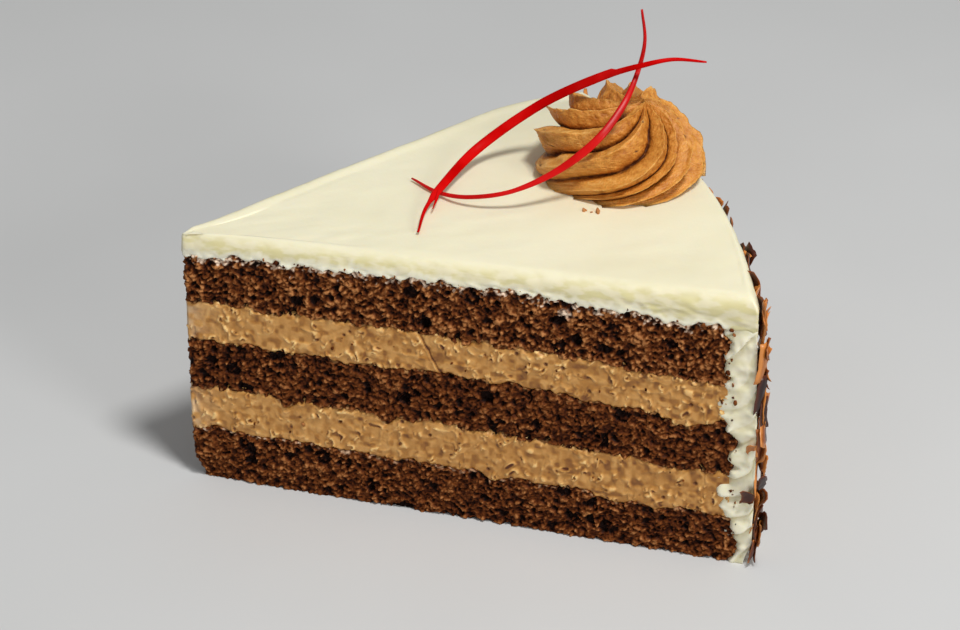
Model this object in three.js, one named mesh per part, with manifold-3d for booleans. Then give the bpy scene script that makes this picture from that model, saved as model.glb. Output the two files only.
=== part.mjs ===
// A cut slice of layer torte: three chocolate sponges and two mocha creams under white icing,
// chocolate flakes on the iced outer side, a piped rosette and two bent red strips on top.
// Millimetres, +Z up. The tip points along -X, the cut faces leave it on the -Y and +Y sides,
// and the curved outer side faces +X. The slice stands on Z = 0, centred on the origin.

import * as THREE from 'three';
import { mergeVertices } from 'three/addons/utils/BufferGeometryUtils.js';
import Module from 'manifold-3d';

const wasm = await Module();
wasm.setup();

// Driving dimensions of the slice
const WEDGE_ANGLE = 55;
const FRONT_CUT = 120;
const BACK_RATIO = 0.9;
const RIM_BULGE = 7.9;
const TIP_HEIGHT = 57.9;
const RIM_HEIGHT = 61.4;
const TIP_BLUNT = 1.2;
const COAT = { foot: 3, top: 6 };
const GAP = 0.3;

// Seams between the layers: height at the tip and at the rim, and a slow swell with its peak
const SEAMS = {
  lowerSpongeTop: { tip: 12.5, rim: 11.0, swell: 0.2, peak: 0.5 },
  lowerCreamTop: { tip: 22.4, rim: 20.5, swell: 0.3, peak: 0.5 },
  middleSpongeTop: { tip: 34.3, rim: 32.9, swell: 0.6, peak: 0.6 },
  upperCreamTop: { tip: 43.0, rim: 41.8, swell: 0.4, peak: 0.5 },
  upperSpongeTop: { tip: 54.1, rim: 55.0, swell: 0.8, peak: 0.5 },
};
const RIPPLE = { height: 0.25, count: 6 };

// How finely the slice is divided
const RUNGS = 40;
const RIM_STEPS = 12;
const SPONGE_ROWS = 4;
const CREAM_ROWS = 2;

// Relief of the cut faces: deepest pit and proudest crumb
const SPONGE_RELIEF = { pit: 0.7, crumb: 0.4 };
const CREAM_RELIEF = { pit: 0.25, crumb: 0.2 };
const ICING_RELIEF = { pit: 0.15, crumb: 0.1 };
const ICING_EDGE_RADIUS = 2.6;
// Share of the way to the middle of the slice that relief can move a point of a cut face
const RELIEF_ROOM = 0.45;
// How far the coat's top is sunk in the icing above it, and how far its ends stand back from the cut faces
const COAT_JOINT = { sunk: 1, endInset: 0.4 };

// Chocolate flakes on the outer side
const FLAKE_COLUMNS = 11;
const FLAKE_ROWS = 6;
const FLAKE_PLACES = 200;
const FLAKE = {
  length: [8, 15],
  width: [3.5, 7],
  curl: [0.1, 0.7],
  tilt: [-38, 38],
  lean: [-10, 16],
  thickness: 1.0,
  sink: 0.3,
  margin: 1.2,
  jitter: [-0.38, 0.38],
  stagger: 0.22,
  ends: [0.03, 0.97],
};
// Sections of a flake: place along its length and share of its width
const FLAKE_SECTIONS = [[-0.5, 0.45], [-0.18, 1], [0.2, 0.95], [0.5, 0.4]];

// Rosette: a dome of thick piped ridges that turn round an eye in front of its middle
const ROSETTE = {
  centre: [92.7, 5.2],
  radius: 18.2,
  height: 15.2,
  turn: 147,
  turnEase: 0.47,
  eye: [4.8, -2.0],
  eyeEase: 4.5,
  swell: { foot: 0.3, eye: 0.6 },
  rings: 22,
  lastClimb: 0.95,
};
// How fast the dome draws in and rises on the way up, as powers
const ROSETTE_PROFILE = { drawsIn: { front: 0.8, back: 1.14 }, rises: { front: 0.55, back: 1.19 } };
// The dome bulges least at its back right, stands highest at its back left and is drawn in at its front left
const ROSETTE_SIDES = {
  backRight: 25,
  backLeft: 95,
  frontLeft: 222,
  raised: 2.2,
  drawnIn: 1.6,
  drawnInPower: 20,
};
// Creases between the ridges: shallow at the foot, gone at the eye, and limited by the ridge's width
const CREASE = {
  depth: 4,
  widthShare: 0.4,
  roundness: 0.62,
  atFoot: 0.6,
  fullFrom: 0.15,
  fullTo: 0.77,
  gone: 1.02,
};
// Points across a ridge, as shares of the way from a crest to the crease, down one side and up the other
const RIDGE_DOWN = [0, 0.45, 0.8, 1];
const RIDGE_UP = [0.65, 0.3];
// Each ridge's direction in degrees at the icing and, without the turn, at the eye, and where the crease
// before the next ridge lies between the two
const RIDGES = [
  [-26, -20, 0.5], [18, 28, 0.4], [48, 67, 0.3], [73, 137, 0.64], [151, 156, 0.68], [204, 182, 0.75],
  [222, 201, 0.55], [246, 206, 0.45], [275, 225, 0.5], [302, 262, 0.5], [318, 300, 0.5],
];

// Red strips: points on the slice, each [x, y, height above the icing]
const WIDE_STRIP = {
  route: [
    [47.0, -13.0, 0.9], [50.2, -4.4, 1.5], [56.1, 4.1, 2.6], [64.9, 13.3, 4.6], [77.7, 13.1, 12.8],
    [88.7, 5.7, 21.3], [95.5, 0.2, 25.7], [101.9, -0.8, 26.7], [109.4, 0.0, 24.7],
  ],
  upperEdge: [[0, 0.28], [0.13, 0.45], [0.17, 0.85], [0.35, 1.05], [0.75, 1.0], [0.773, 0.5], [1, 0.3]],
  lowerEdge: [[0, 0.28], [0.13, 0.45], [0.17, 0.85], [0.35, 1.05], [0.7, 1.0], [0.85, 0.75], [1, 0.3]],
  thickness: 0.9,
  steps: 44,
};
// The wide strip's lower end is split: this short prong leaves it beside its long narrow end
const PRONG_EDGE = [[0, 0.35], [0.5, 0.3], [1, 0.12]];
const PRONG = {
  route: [[53.8, 0.8, 2.3], [52.8, -2.0, 1.8], [51.5, -5.0, 1.4]],
  upperEdge: PRONG_EDGE,
  lowerEdge: PRONG_EDGE,
  thickness: 0.6,
  steps: 5,
};
const NARROW_EDGE = [
  [0, 0.25], [0.1, 0.45], [0.34, 0.5], [0.47, 0.75], [0.55, 0.9], [0.7, 0.75], [0.8, 0.55], [1, 0.3],
];
const NARROW_STRIP = {
  route: [
    [49.8, 10.1, 0.8], [53.9, 2.8, 0.8], [58.9, -3.4, 2.2], [67.2, -7.2, 4.3], [76.9, -8.0, 8.3],
    [85.1, -7.5, 14.0], [91.4, -3.1, 18.8], [95.8, 2.5, 23.6], [97.0, 2.7, 29.8], [96.4, 3.5, 36.5],
  ],
  upperEdge: NARROW_EDGE,
  lowerEdge: NARROW_EDGE,
  thickness: 0.8,
  steps: 48,
};
const STRIP_END_THICKNESS = 0.6;
const STRIP_FACING = new THREE.Vector3(0, -0.7, 0.7);

const COLOURS = {
  sponge: '#4a2a18',
  cream: '#b08a5c',
  icing: '#f1ecd2',
  rosette: '#b07a48',
  strip: '#cc0d16',
};

const HALF_ANGLE = THREE.MathUtils.degToRad(WEDGE_ANGLE / 2);
const { lerp, degToRad, clamp } = THREE.MathUtils;

// A repeatable stream of numbers from 0 to 1
function seeded(seed) {
  let state = seed;
  return () => {
    state = (state + 0x6d2b79f5) | 0;
    let mixed = Math.imul(state ^ (state >>> 15), 1 | state);
    mixed = (mixed + Math.imul(mixed ^ (mixed >>> 7), 61 | mixed)) ^ mixed;
    return ((mixed ^ (mixed >>> 14)) >>> 0) / 4294967296;
  };
}

// Straight-line reading of a list of [place, value] pairs
function profileAt(profile, place) {
  const after = profile.findIndex(([end]) => end >= place);
  if (after <= 0) return profile[0][1];
  const [fromPlace, fromValue] = profile[after - 1];
  const [toPlace, toValue] = profile[after];
  return lerp(fromValue, toValue, (place - fromPlace) / (toPlace - fromPlace));
}

function geometryFrom(vertices, triangles) {
  const geometry = new THREE.BufferGeometry();
  geometry.setAttribute('position', new THREE.Float32BufferAttribute(vertices.flat(), 3));
  geometry.setIndex(triangles.flat());
  return geometry;
}

function solidFrom(geometry) {
  const bare = geometry.clone();
  bare.deleteAttribute('normal');
  bare.deleteAttribute('uv');
  const merged = mergeVertices(bare, 1e-4);
  return new wasm.Manifold(new wasm.Mesh({
    numProp: 3,
    vertProperties: new Float32Array(merged.attributes.position.array),
    triVerts: new Uint32Array(merged.index.array),
  }));
}

function geometryOfSolid(solid) {
  const mesh = solid.getMesh();
  const geometry = new THREE.BufferGeometry();
  geometry.setAttribute('position', new THREE.Float32BufferAttribute(mesh.vertProperties, 3));
  geometry.setIndex(Array.from(mesh.triVerts));
  return geometry;
}

// Share of the way from the tip to the rim, the same all along a line across the slice
const across = {
  x: (1 + 1 / BACK_RATIO) / (2 * Math.cos(HALF_ANGLE)),
  y: (1 / BACK_RATIO - 1) / (2 * Math.sin(HALF_ANGLE)),
};
function shareAt(x, y) {
  return (across.x * x + across.y * y) / FRONT_CUT;
}

function topAt(x, y) {
  return lerp(TIP_HEIGHT, RIM_HEIGHT, shareAt(x, y));
}

function seamAt(seam, x, y) {
  const share = shareAt(x, y);
  const swell = seam.swell * Math.cos(2 * Math.PI * (share - seam.peak));
  const ripple = RIPPLE.height * Math.sin(2 * Math.PI * RIPPLE.count * share + seam.tip);
  return lerp(seam.tip, seam.rim, share) + swell + ripple;
}

function onCut(reach, side) {
  const length = side < 0 ? reach : reach * BACK_RATIO;
  return new THREE.Vector2(length * Math.cos(HALF_ANGLE), side * length * Math.sin(HALF_ANGLE));
}

// Points of the curved outer side that ends on the cut faces at this reach, front to back
function rimArc(reach, steps) {
  const front = onCut(reach, -1);
  const back = onCut(reach, 1);
  const chord = back.clone().sub(front);
  const outward = new THREE.Vector2(chord.y, -chord.x).normalize();
  const radius = (chord.lengthSq() / 4 + RIM_BULGE ** 2) / (2 * RIM_BULGE);
  const middle = front.clone().add(back).multiplyScalar(0.5);
  const centre = middle.addScaledVector(outward, RIM_BULGE - radius);
  const start = front.clone().sub(centre).angle() - 2 * Math.PI;
  const end = back.clone().sub(centre).angle();
  const points = [];
  for (let step = 0; step <= steps; step++) {
    const angle = lerp(start, end, step / steps);
    const normal = new THREE.Vector2(Math.cos(angle), Math.sin(angle));
    points.push({ point: centre.clone().addScaledVector(normal, radius), normal });
  }
  return points;
}

// Outline of a layer seen from above, anticlockwise: front cut, outer side, back cut
function outlineFor(reaches) {
  const last = reaches.length - 1;
  const arc = rimArc(reaches[last], RIM_STEPS);
  const cutPoints = (side) => reaches.map((reach, index) => ({
    point: onCut(reach, side),
    side,
    rimNormal: index === last ? arc[side < 0 ? 0 : RIM_STEPS].normal : null,
  }));
  const rimPoints = arc.slice(1, -1).map(({ point, normal }) => ({ point, side: 0, rimNormal: normal }));
  return [...cutPoints(-1), ...rimPoints, ...cutPoints(1).reverse()];
}

// Moves an outline point out of the slice (or in, when negative), never past the middle at the tip
function pushed({ point, side, rimNormal }, sidePush, rimPush) {
  const moved = point.clone();
  const room = RELIEF_ROOM * Math.abs(point.y);
  moved.y += side * clamp(sidePush, -room, room);
  if (rimNormal) moved.addScaledVector(rimNormal, rimPush);
  return moved;
}

// A closed layer: rows of points round the outline, with ruled faces below and above.
// Each row is { reaches, height(x, y), inset }; relief roughens the two cut faces.
function slab({ rows, relief, seed }) {
  const random = seeded(seed);
  const last = rows[0].reaches.length - 1;
  const count = 2 * (last + 1) + RIM_STEPS - 1;
  const vertices = [];
  for (const { reaches, height, inset } of rows) {
    for (const place of outlineFor(reaches)) {
      const rough = lerp(-relief.pit, relief.crumb, random());
      const moved = pushed(place, rough - inset, -inset);
      vertices.push([moved.x, moved.y, height(place.point.x, place.point.y)]);
    }
  }
  const triangles = [];
  for (let row = 0; row < rows.length - 1; row++) {
    for (let column = 0; column < count; column++) {
      const next = (column + 1) % count;
      const [a, b] = [row * count + column, row * count + next];
      triangles.push([a, b, b + count], [a, b + count, a + count]);
    }
  }
  const cap = [];
  for (let rung = 0; rung < last; rung++) {
    const [back, backNext] = [count - 1 - rung, count - 2 - rung];
    cap.push([rung, rung + 1, backNext], [rung, backNext, back]);
  }
  let [low, high] = [last, last + RIM_STEPS];
  while (high - low >= 2) {
    cap.push([low, low + 1, high]);
    low += 1;
    if (high - low >= 2) {
      cap.push([low, high - 1, high]);
      high -= 1;
    }
  }
  const top = (rows.length - 1) * count;
  for (const [a, b, c] of cap) {
    triangles.push([a, c, b], [a + top, b + top, c + top]);
  }
  return geometryFrom(vertices, triangles);
}

// Where the coat's inner wall meets the cut faces: the coat is thinner at its foot
const COAT_TOP = SEAMS.upperSpongeTop.rim;
function coatReach(height) {
  return FRONT_CUT - lerp(COAT.foot, COAT.top, height / COAT_TOP);
}

function rungsTo(reach) {
  return Array.from({ length: RUNGS + 1 }, (_, rung) => lerp(TIP_BLUNT, reach - GAP, rung / RUNGS));
}

// A layer between two seams; the lowest one stands on the plate, so it has no seam below
function layer({ below, above, rowCount, relief, seed }) {
  const rows = [];
  for (let row = 0; row <= rowCount; row++) {
    rows.push({
      reaches: rungsTo(coatReach(lerp(below ? below.rim : 0, above.rim, row / rowCount))),
      inset: 0,
      height: (x, y) => {
        const bottom = below ? seamAt(below, x, y) + GAP / 2 : 0;
        const top = seamAt(above, x, y) - GAP / 2;
        return lerp(bottom, top, row / rowCount);
      },
    });
  }
  return slab({ rows, relief, seed });
}

// Icing over the top, with a rounded upper edge
function icingTop() {
  const reaches = [...rungsTo(coatReach(COAT_TOP)), FRONT_CUT];
  const rows = [
    { reaches, inset: 0, height: (x, y) => seamAt(SEAMS.upperSpongeTop, x, y) + GAP / 2 },
    ...[0, 30, 60, 90].map((angle) => ({
      reaches,
      inset: ICING_EDGE_RADIUS * (1 - Math.cos(degToRad(angle))),
      height: (x, y) => topAt(x, y) - ICING_EDGE_RADIUS * (1 - Math.sin(degToRad(angle))),
    })),
  ];
  return slab({ rows, relief: ICING_RELIEF, seed: 41 });
}

// Icing down the outer side: an upright curved wall whose top end is inside the icing above
function icingSide() {
  const vertices = [];
  for (const [footReach, topReach] of [[FRONT_CUT, FRONT_CUT], [coatReach(0), coatReach(COAT_TOP)]]) {
    const foot = rimArc(footReach, RIM_STEPS);
    rimArc(topReach, RIM_STEPS).forEach(({ point }, step) => {
      const inset = (step === 0 ? COAT_JOINT.endInset : 0) - (step === RIM_STEPS ? COAT_JOINT.endInset : 0);
      const top = seamAt(SEAMS.upperSpongeTop, point.x, point.y) + COAT_JOINT.sunk;
      vertices.push([foot[step].point.x, foot[step].point.y + inset, 0], [point.x, point.y + inset, top]);
    });
  }
  const triangles = [];
  const wall = 2 * (RIM_STEPS + 1);
  for (let step = 0; step < RIM_STEPS; step++) {
    const [a, b] = [2 * step, 2 * step + 2];
    const [c, d] = [a + wall, b + wall];
    triangles.push([a, b, b + 1], [a, b + 1, a + 1]);
    triangles.push([d, c, c + 1], [d, c + 1, d + 1]);
    triangles.push([a + 1, b + 1, d + 1], [a + 1, d + 1, c + 1]);
    triangles.push([b, a, c], [b, c, d]);
  }
  const end = 2 * RIM_STEPS;
  triangles.push([wall, 0, 1], [wall, 1, wall + 1]);
  triangles.push([end, end + wall, end + wall + 1], [end, end + wall + 1, end + 1]);
  return geometryFrom(vertices, triangles);
}

// A curled flake lying in the YZ plane, thin along X, narrower at its ends
function flake(length, width, curl) {
  const half = FLAKE.thickness / 2;
  const vertices = FLAKE_SECTIONS.flatMap(([along, taper]) => {
    const bend = curl * (along * along * 4 - 0.5);
    const edge = (width / 2) * taper;
    const z = along * length;
    return [[bend - half, -edge, z], [bend + half, -edge, z], [bend + half, edge, z], [bend - half, edge, z]];
  });
  const triangles = [[0, 3, 2], [0, 2, 1]];
  for (let section = 0; section < FLAKE_SECTIONS.length - 1; section++) {
    for (let corner = 0; corner < 4; corner++) {
      const a = section * 4 + corner;
      const b = section * 4 + ((corner + 1) % 4);
      triangles.push([a, b, b + 4], [a, b + 4, a + 4]);
    }
  }
  const end = 4 * (FLAKE_SECTIONS.length - 1);
  triangles.push([end, end + 1, end + 2], [end, end + 2, end + 3]);
  return geometryFrom(vertices, triangles);
}

// Flakes spread evenly over the outer side, each with its own size, tilt and lean
function flakes() {
  const random = seeded(7);
  const between = ([low, high]) => lerp(low, high, random());
  const fineArc = rimArc(FRONT_CUT, FLAKE_PLACES);
  const pieces = [];
  for (let column = 0; column < FLAKE_COLUMNS; column++) {
    for (let row = 0; row < FLAKE_ROWS; row++) {
      const length = between(FLAKE.length);
      const width = between(FLAKE.width);
      const tilt = degToRad(between(FLAKE.tilt));
      const lean = degToRad(between(FLAKE.lean));
      const along = (column + 0.5 + between(FLAKE.jitter)) / FLAKE_COLUMNS;
      const { point, normal } = fineArc[Math.round(FLAKE_PLACES * clamp(along, ...FLAKE.ends))];
      const room = length / 2 + FLAKE.margin;
      const stagger = column % 2 === 0 ? FLAKE.stagger : -FLAKE.stagger;
      const level = ((row + 0.5 + stagger + between(FLAKE.jitter)) / FLAKE_ROWS) * RIM_HEIGHT;
      const piece = flake(length, width, between(FLAKE.curl));
      piece.rotateX(tilt);
      piece.rotateY(lean);
      piece.rotateZ(Math.atan2(normal.y, normal.x));
      const out = FLAKE.thickness / 2 - FLAKE.sink;
      const z = clamp(level, room, RIM_HEIGHT - room);
      piece.translate(point.x + normal.x * out, point.y + normal.y * out, z);
      pieces.push(piece);
    }
  }
  return pieces;
}

function icing() {
  let whole = solidFrom(icingTop()).add(solidFrom(icingSide()));
  for (const piece of flakes()) whole = whole.add(solidFrom(piece));
  return geometryOfSolid(whole);
}

// A point of the rosette round its centre, pushed out of the smooth dome
function rosettePoint(climb, angle, push) {
  const { centre, radius, height, eye } = ROSETTE;
  const { drawsIn, rises } = ROSETTE_PROFILE;
  const rise = (climb * Math.PI) / 2;
  const facing = (side) => 0.5 + 0.5 * Math.cos(angle - degToRad(side));
  const backRight = facing(ROSETTE_SIDES.backRight);
  const frontLeft = Math.pow(facing(ROSETTE_SIDES.frontLeft), ROSETTE_SIDES.drawnInPower);
  const raised = (Math.sin(Math.PI * Math.pow(climb, 1.1)) * facing(ROSETTE_SIDES.backLeft)) ** 2;
  const reach = radius * Math.pow(Math.cos(rise), lerp(drawsIn.front, drawsIn.back, backRight))
    - ROSETTE_SIDES.drawnIn * frontLeft * Math.cos(rise) ** 2 + push * Math.cos(rise);
  const level = height * Math.pow(Math.sin(rise), lerp(rises.front, rises.back, backRight))
    + ROSETTE_SIDES.raised * raised + push * Math.sin(rise);
  const shift = Math.pow(climb, ROSETTE.eyeEase);
  const x = centre[0] + eye[0] * shift + reach * Math.cos(angle);
  const y = centre[1] + eye[1] * shift + reach * Math.sin(angle);
  return [x, y, topAt(x, y) + GAP + level];
}

// Directions and depths round one ring: from each crest down to the crease and up to the next crest
function rosetteColumns(climb) {
  const columns = [];
  const narrowing = Math.pow(Math.cos((climb * Math.PI) / 2), 0.6);
  const fade = lerp(CREASE.atFoot, 1, clamp(climb / CREASE.fullFrom, 0, 1))
    * clamp((CREASE.gone - climb) / (CREASE.gone - CREASE.fullTo), 0, 1);
  const swell = lerp(ROSETTE.swell.foot, ROSETTE.swell.eye, climb);
  const turned = ROSETTE.turn * Math.pow(climb, ROSETTE.turnEase);
  RIDGES.forEach(([start, end, crease], index) => {
    const wrapped = index === RIDGES.length - 1 ? 360 : 0;
    const [nextStart, nextEnd] = RIDGES[(index + 1) % RIDGES.length];
    const from = lerp(start, end, climb);
    const width = lerp(nextStart, nextEnd, climb) + wrapped - from;
    const room = CREASE.widthShare * degToRad(width) * ROSETTE.radius * narrowing;
    const depth = Math.min(CREASE.depth, room) * fade;
    const points = [
      ...RIDGE_DOWN.map((fromCrest) => [fromCrest * crease, fromCrest]),
      ...RIDGE_UP.map((fromCrest) => [lerp(1, crease, fromCrest), fromCrest]),
    ];
    for (const [phase, fromCrest] of points) {
      const groove = 1 - Math.pow(Math.max(Math.cos((fromCrest * Math.PI) / 2), 0), CREASE.roundness);
      columns.push({ angle: degToRad(from + phase * width + turned), push: swell - depth * groove });
    }
  });
  return columns;
}

function rosette() {
  const { centre, rings, lastClimb } = ROSETTE;
  const vertices = [];
  let columns = 0;
  for (let ring = 0; ring < rings; ring++) {
    const climb = (lastClimb * ring) / (rings - 1);
    const round = rosetteColumns(climb);
    columns = round.length;
    for (const { angle, push } of round) vertices.push(rosettePoint(climb, angle, push));
  }
  const [cx, cy] = centre;
  const foot = vertices.push([cx, cy, topAt(cx, cy) + GAP]) - 1;
  const eye = vertices.push(rosettePoint(1, 0, 0)) - 1;
  const triangles = [];
  for (let column = 0; column < columns; column++) {
    const next = (column + 1) % columns;
    for (let ring = 0; ring < rings - 1; ring++) {
      const [a, b] = [ring * columns + column, ring * columns + next];
      triangles.push([a, b, b + columns], [a, b + columns, a + columns]);
    }
    const last = (rings - 1) * columns;
    triangles.push([foot, next, column], [last + column, last + next, eye]);
  }
  return geometryFrom(vertices, triangles);
}

// A thin ribbon along a bent route, its width read from its two edges
function ribbon({ route, upperEdge, lowerEdge, thickness, steps }) {
  const curve = new THREE.CatmullRomCurve3(
    route.map(([x, y, lift]) => new THREE.Vector3(x, y, topAt(x, y) + lift)),
  );
  const vertices = [];
  for (let step = 0; step <= steps; step++) {
    const place = step / steps;
    const point = curve.getPointAt(place);
    const along = curve.getTangentAt(place);
    const wide = STRIP_FACING.clone().cross(along).normalize();
    const thin = along.clone().cross(wide).normalize();
    const half = (thickness / 2) * (place === 0 || place === 1 ? STRIP_END_THICKNESS : 1);
    const upper = profileAt(upperEdge, place);
    const lower = profileAt(lowerEdge, place);
    for (const [across, out] of [[upper, 0], [0.5 * upper, half], [-0.5 * lower, half],
      [-lower, 0], [-0.5 * lower, -half], [0.5 * upper, -half]]) {
      vertices.push(point.clone().addScaledVector(wide, across).addScaledVector(thin, out).toArray());
    }
  }
  const sides = 6;
  const triangles = [];
  for (let step = 0; step < steps; step++) {
    for (let side = 0; side < sides; side++) {
      const a = step * sides + side;
      const b = step * sides + ((side + 1) % sides);
      triangles.push([a, b, b + sides], [a, b + sides, a + sides]);
    }
  }
  const end = steps * sides;
  for (let side = 1; side < sides - 1; side++) {
    triangles.push([0, side + 1, side], [end, end + side, end + side + 1]);
  }
  return geometryFrom(vertices, triangles);
}

function forkedStrip() {
  return geometryOfSolid(solidFrom(ribbon(WIDE_STRIP)).add(solidFrom(ribbon(PRONG))));
}

function material(colour, roughness) {
  return new THREE.MeshStandardMaterial({ color: colour, roughness, metalness: 0 });
}
const spongeMaterial = material(COLOURS.sponge, 0.95);
const creamMaterial = material(COLOURS.cream, 0.7);

const group = new THREE.Group();
function place(name, geometry, meshMaterial) {
  const mesh = new THREE.Mesh(geometry, meshMaterial);
  mesh.name = name;
  group.add(mesh);
}

function sponge(name, below, above, seed) {
  place(name, layer({ below, above, seed, rowCount: SPONGE_ROWS, relief: SPONGE_RELIEF }), spongeMaterial);
}
function cream(name, below, above, seed) {
  place(name, layer({ below, above, seed, rowCount: CREAM_ROWS, relief: CREAM_RELIEF }), creamMaterial);
}

sponge('sponge_bottom', null, SEAMS.lowerSpongeTop, 11);
cream('filling_lower', SEAMS.lowerSpongeTop, SEAMS.lowerCreamTop, 12);
sponge('sponge_middle', SEAMS.lowerCreamTop, SEAMS.middleSpongeTop, 13);
cream('filling_upper', SEAMS.middleSpongeTop, SEAMS.upperCreamTop, 14);
sponge('sponge_top', SEAMS.upperCreamTop, SEAMS.upperSpongeTop, 15);
place('icing', icing(), material(COLOURS.icing, 0.5));
place('rosette', rosette(), material(COLOURS.rosette, 0.6));
place('red_strip_wide', forkedStrip(), material(COLOURS.strip, 0.25));
place('red_strip_narrow', ribbon(NARROW_STRIP), material(COLOURS.strip, 0.25));

// The origin is under the middle of the whole slice
const extent = new THREE.Box3().setFromObject(group);
const middle = extent.getCenter(new THREE.Vector3());
group.position.set(-middle.x, -middle.y, -extent.min.z);

export default group;
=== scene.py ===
"""Looks of a cut slice of layer torte: crumb, creams, icing, chocolate flakes, rosette and red strips."""

import itertools
import math

import bpy
import numpy as np
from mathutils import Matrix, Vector


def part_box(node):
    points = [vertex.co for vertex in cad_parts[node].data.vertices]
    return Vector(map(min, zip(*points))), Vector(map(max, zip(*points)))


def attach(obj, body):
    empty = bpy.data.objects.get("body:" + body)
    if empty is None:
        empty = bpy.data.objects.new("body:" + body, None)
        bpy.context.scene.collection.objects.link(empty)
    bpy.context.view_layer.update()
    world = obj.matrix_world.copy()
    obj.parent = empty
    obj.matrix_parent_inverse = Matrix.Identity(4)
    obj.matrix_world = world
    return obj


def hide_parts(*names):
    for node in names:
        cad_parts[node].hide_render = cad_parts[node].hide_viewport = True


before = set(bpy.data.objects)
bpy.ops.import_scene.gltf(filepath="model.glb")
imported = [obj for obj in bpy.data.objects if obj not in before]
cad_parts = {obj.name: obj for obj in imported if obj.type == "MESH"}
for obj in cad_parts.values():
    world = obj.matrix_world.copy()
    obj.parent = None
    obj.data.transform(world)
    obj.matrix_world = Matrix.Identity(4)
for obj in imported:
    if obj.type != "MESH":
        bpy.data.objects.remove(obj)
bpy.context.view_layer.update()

MM = 0.001

# Driving dimensions of the slice in millimetres, the same as the solids'
HALF_ANGLE = math.radians(27.5)
FRONT_CUT = 120.0
BACK_RATIO = 0.9
BACK_CUT = FRONT_CUT * BACK_RATIO
RIM_BULGE = 7.9
TIP_HEIGHT = 57.9
RIM_HEIGHT = 61.4
CORNER_DROP = 4.6
CORNER_DROP_START = 80.0
CORNER_DROP_REACH = (13.0, 2.0)
TIP_BLUNT = 1.2
COAT_FOOT = 3.0
COAT_TOP = 6.0
GAP = 0.3
INNER_REACH = FRONT_CUT - COAT_TOP - GAP
ICING_EDGE_RADIUS = 3.2

# Seams between the layers: height at the tip and at the rim, a slow swell and where it peaks
SEAMS = {
    "lower_sponge_top": (12.5, 11.0, 0.2, 0.5),
    "lower_cream_top": (22.4, 20.5, 0.3, 0.5),
    "middle_sponge_top": (34.3, 32.9, 0.6, 0.6),
    "upper_cream_top": (43.0, 41.8, 0.4, 0.5),
    "upper_sponge_top": (54.1, 55.0, 0.8, 0.5),
}
# Places where a seam sinks: share of the way from the tip to the rim, depth, and half width as a share
SEAM_DIPS = {
    "lower_sponge_top": [(0.367, 0.9, 0.025), (0.55, 1.6, 0.02), (0.7625, 1.5, 0.028), (0.846, 1.4, 0.03)],
    "lower_cream_top": [(0.183, 1.2, 0.015), (0.3625, 1.5, 0.015)],
    "middle_sponge_top": [(0.3, 1.0, 0.03), (0.767, 0.9, 0.09), (0.883, 1.9, 0.035)],
    "upper_cream_top": [(0.5, 0.9, 0.02), (0.575, 0.8, 0.018), (0.91, 1.0, 0.03)],
    "upper_sponge_top": [],
}
RIPPLE_HEIGHT = 0.25
RIPPLE_COUNT = 6
SPONGE_HEIGHT = 12.0
CREAM_HEIGHT = 9.6

# Mesh steps on the cut faces, and rows of points across the hidden faces
SPONGE_STEP = 0.2
CREAM_STEP = 0.24
HIDDEN_ACROSS = 3

# How far one piece runs on under or over its neighbour, so that their relief cuts a ragged line between them
CREAM_LAP = 0.7
ICING_LAP = 1.2
COAT_LAP = 2.0

# Camera of the photograph: lens for a 36 mm sensor, direction, and aim on the front cut
LENS = 120.0
CAMERA_YAW = math.radians(16.4)
CAMERA_ELEVATION = math.radians(30.0)
CAMERA_DISTANCE = 638.3
AIM_REACH = 63.7
AIM_HEIGHT = 49.3

FRONT = np.array([math.cos(HALF_ANGLE), -math.sin(HALF_ANGLE)])
BACK = np.array([math.cos(HALF_ANGLE), math.sin(HALF_ANGLE)])
FRONT_OUT = np.array([-math.sin(HALF_ANGLE), -math.cos(HALF_ANGLE)])
BACK_OUT = np.array([-math.sin(HALF_ANGLE), math.cos(HALF_ANGLE)])


def coat_reach(height):
    """How far from the apex the coat's inner wall meets the front cut: the coat is thinner at its foot."""
    return FRONT_CUT - COAT_FOOT - (COAT_TOP - COAT_FOOT) * height / SEAMS["upper_sponge_top"][1]


def find_apex():
    """Where the two cut faces meet, in the part's frame, read from a layer whose outline is plain."""
    low, high = (np.array(corner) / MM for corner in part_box("filling_lower"))
    reach = coat_reach(SEAMS["lower_sponge_top"][1]) - GAP
    x = low[0] - TIP_BLUNT * BACK_RATIO * math.cos(HALF_ANGLE)
    y = (low[1] + high[1]) / 2 + 0.5 * (1 - BACK_RATIO) * reach * math.sin(HALF_ANGLE)
    return np.array([x, y, 0.0])


APEX = find_apex()


# Number helpers
def lerp(start, end, share):
    return start + (end - start) * share


def smoothstep(low, high, value):
    share = np.clip((value - low) / (high - low), 0, 1)
    return share * share * (3 - 2 * share)


# Odd factors and bit shifts that scramble a whole number
HASH_STEPS = ((0x85EBCA6B, 13), (0xC2B2AE35, 16))


def hashed(cell, seed):
    """A number from 0 to 1 for each row of whole numbers, the same on every run."""
    mixed = np.full(len(cell), seed * 2654435761 % 2**32, np.uint32)
    for axis in range(cell.shape[1]):
        mixed ^= cell[:, axis].astype(np.int32).view(np.uint32) * np.uint32(0x9E3779B1 + 2 * axis)
        for factor, shift in HASH_STEPS:
            mixed *= np.uint32(factor)
            mixed ^= mixed >> np.uint32(shift)
    return mixed / 2.0**32


def noise(points, scale, seed):
    """Smooth noise from -1 to 1 with bumps of the given size."""
    grid = points / scale
    base = np.floor(grid)
    inside = grid - base
    weight = inside**3 * (inside * (6 * inside - 15) + 10)
    total = np.zeros(len(points))
    for corner in itertools.product((0, 1), repeat=points.shape[1]):
        share = np.prod(np.where(np.array(corner) == 1, weight, 1 - weight), axis=1)
        total += share * hashed(base + corner, seed)
    return 2 * total - 1


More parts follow.
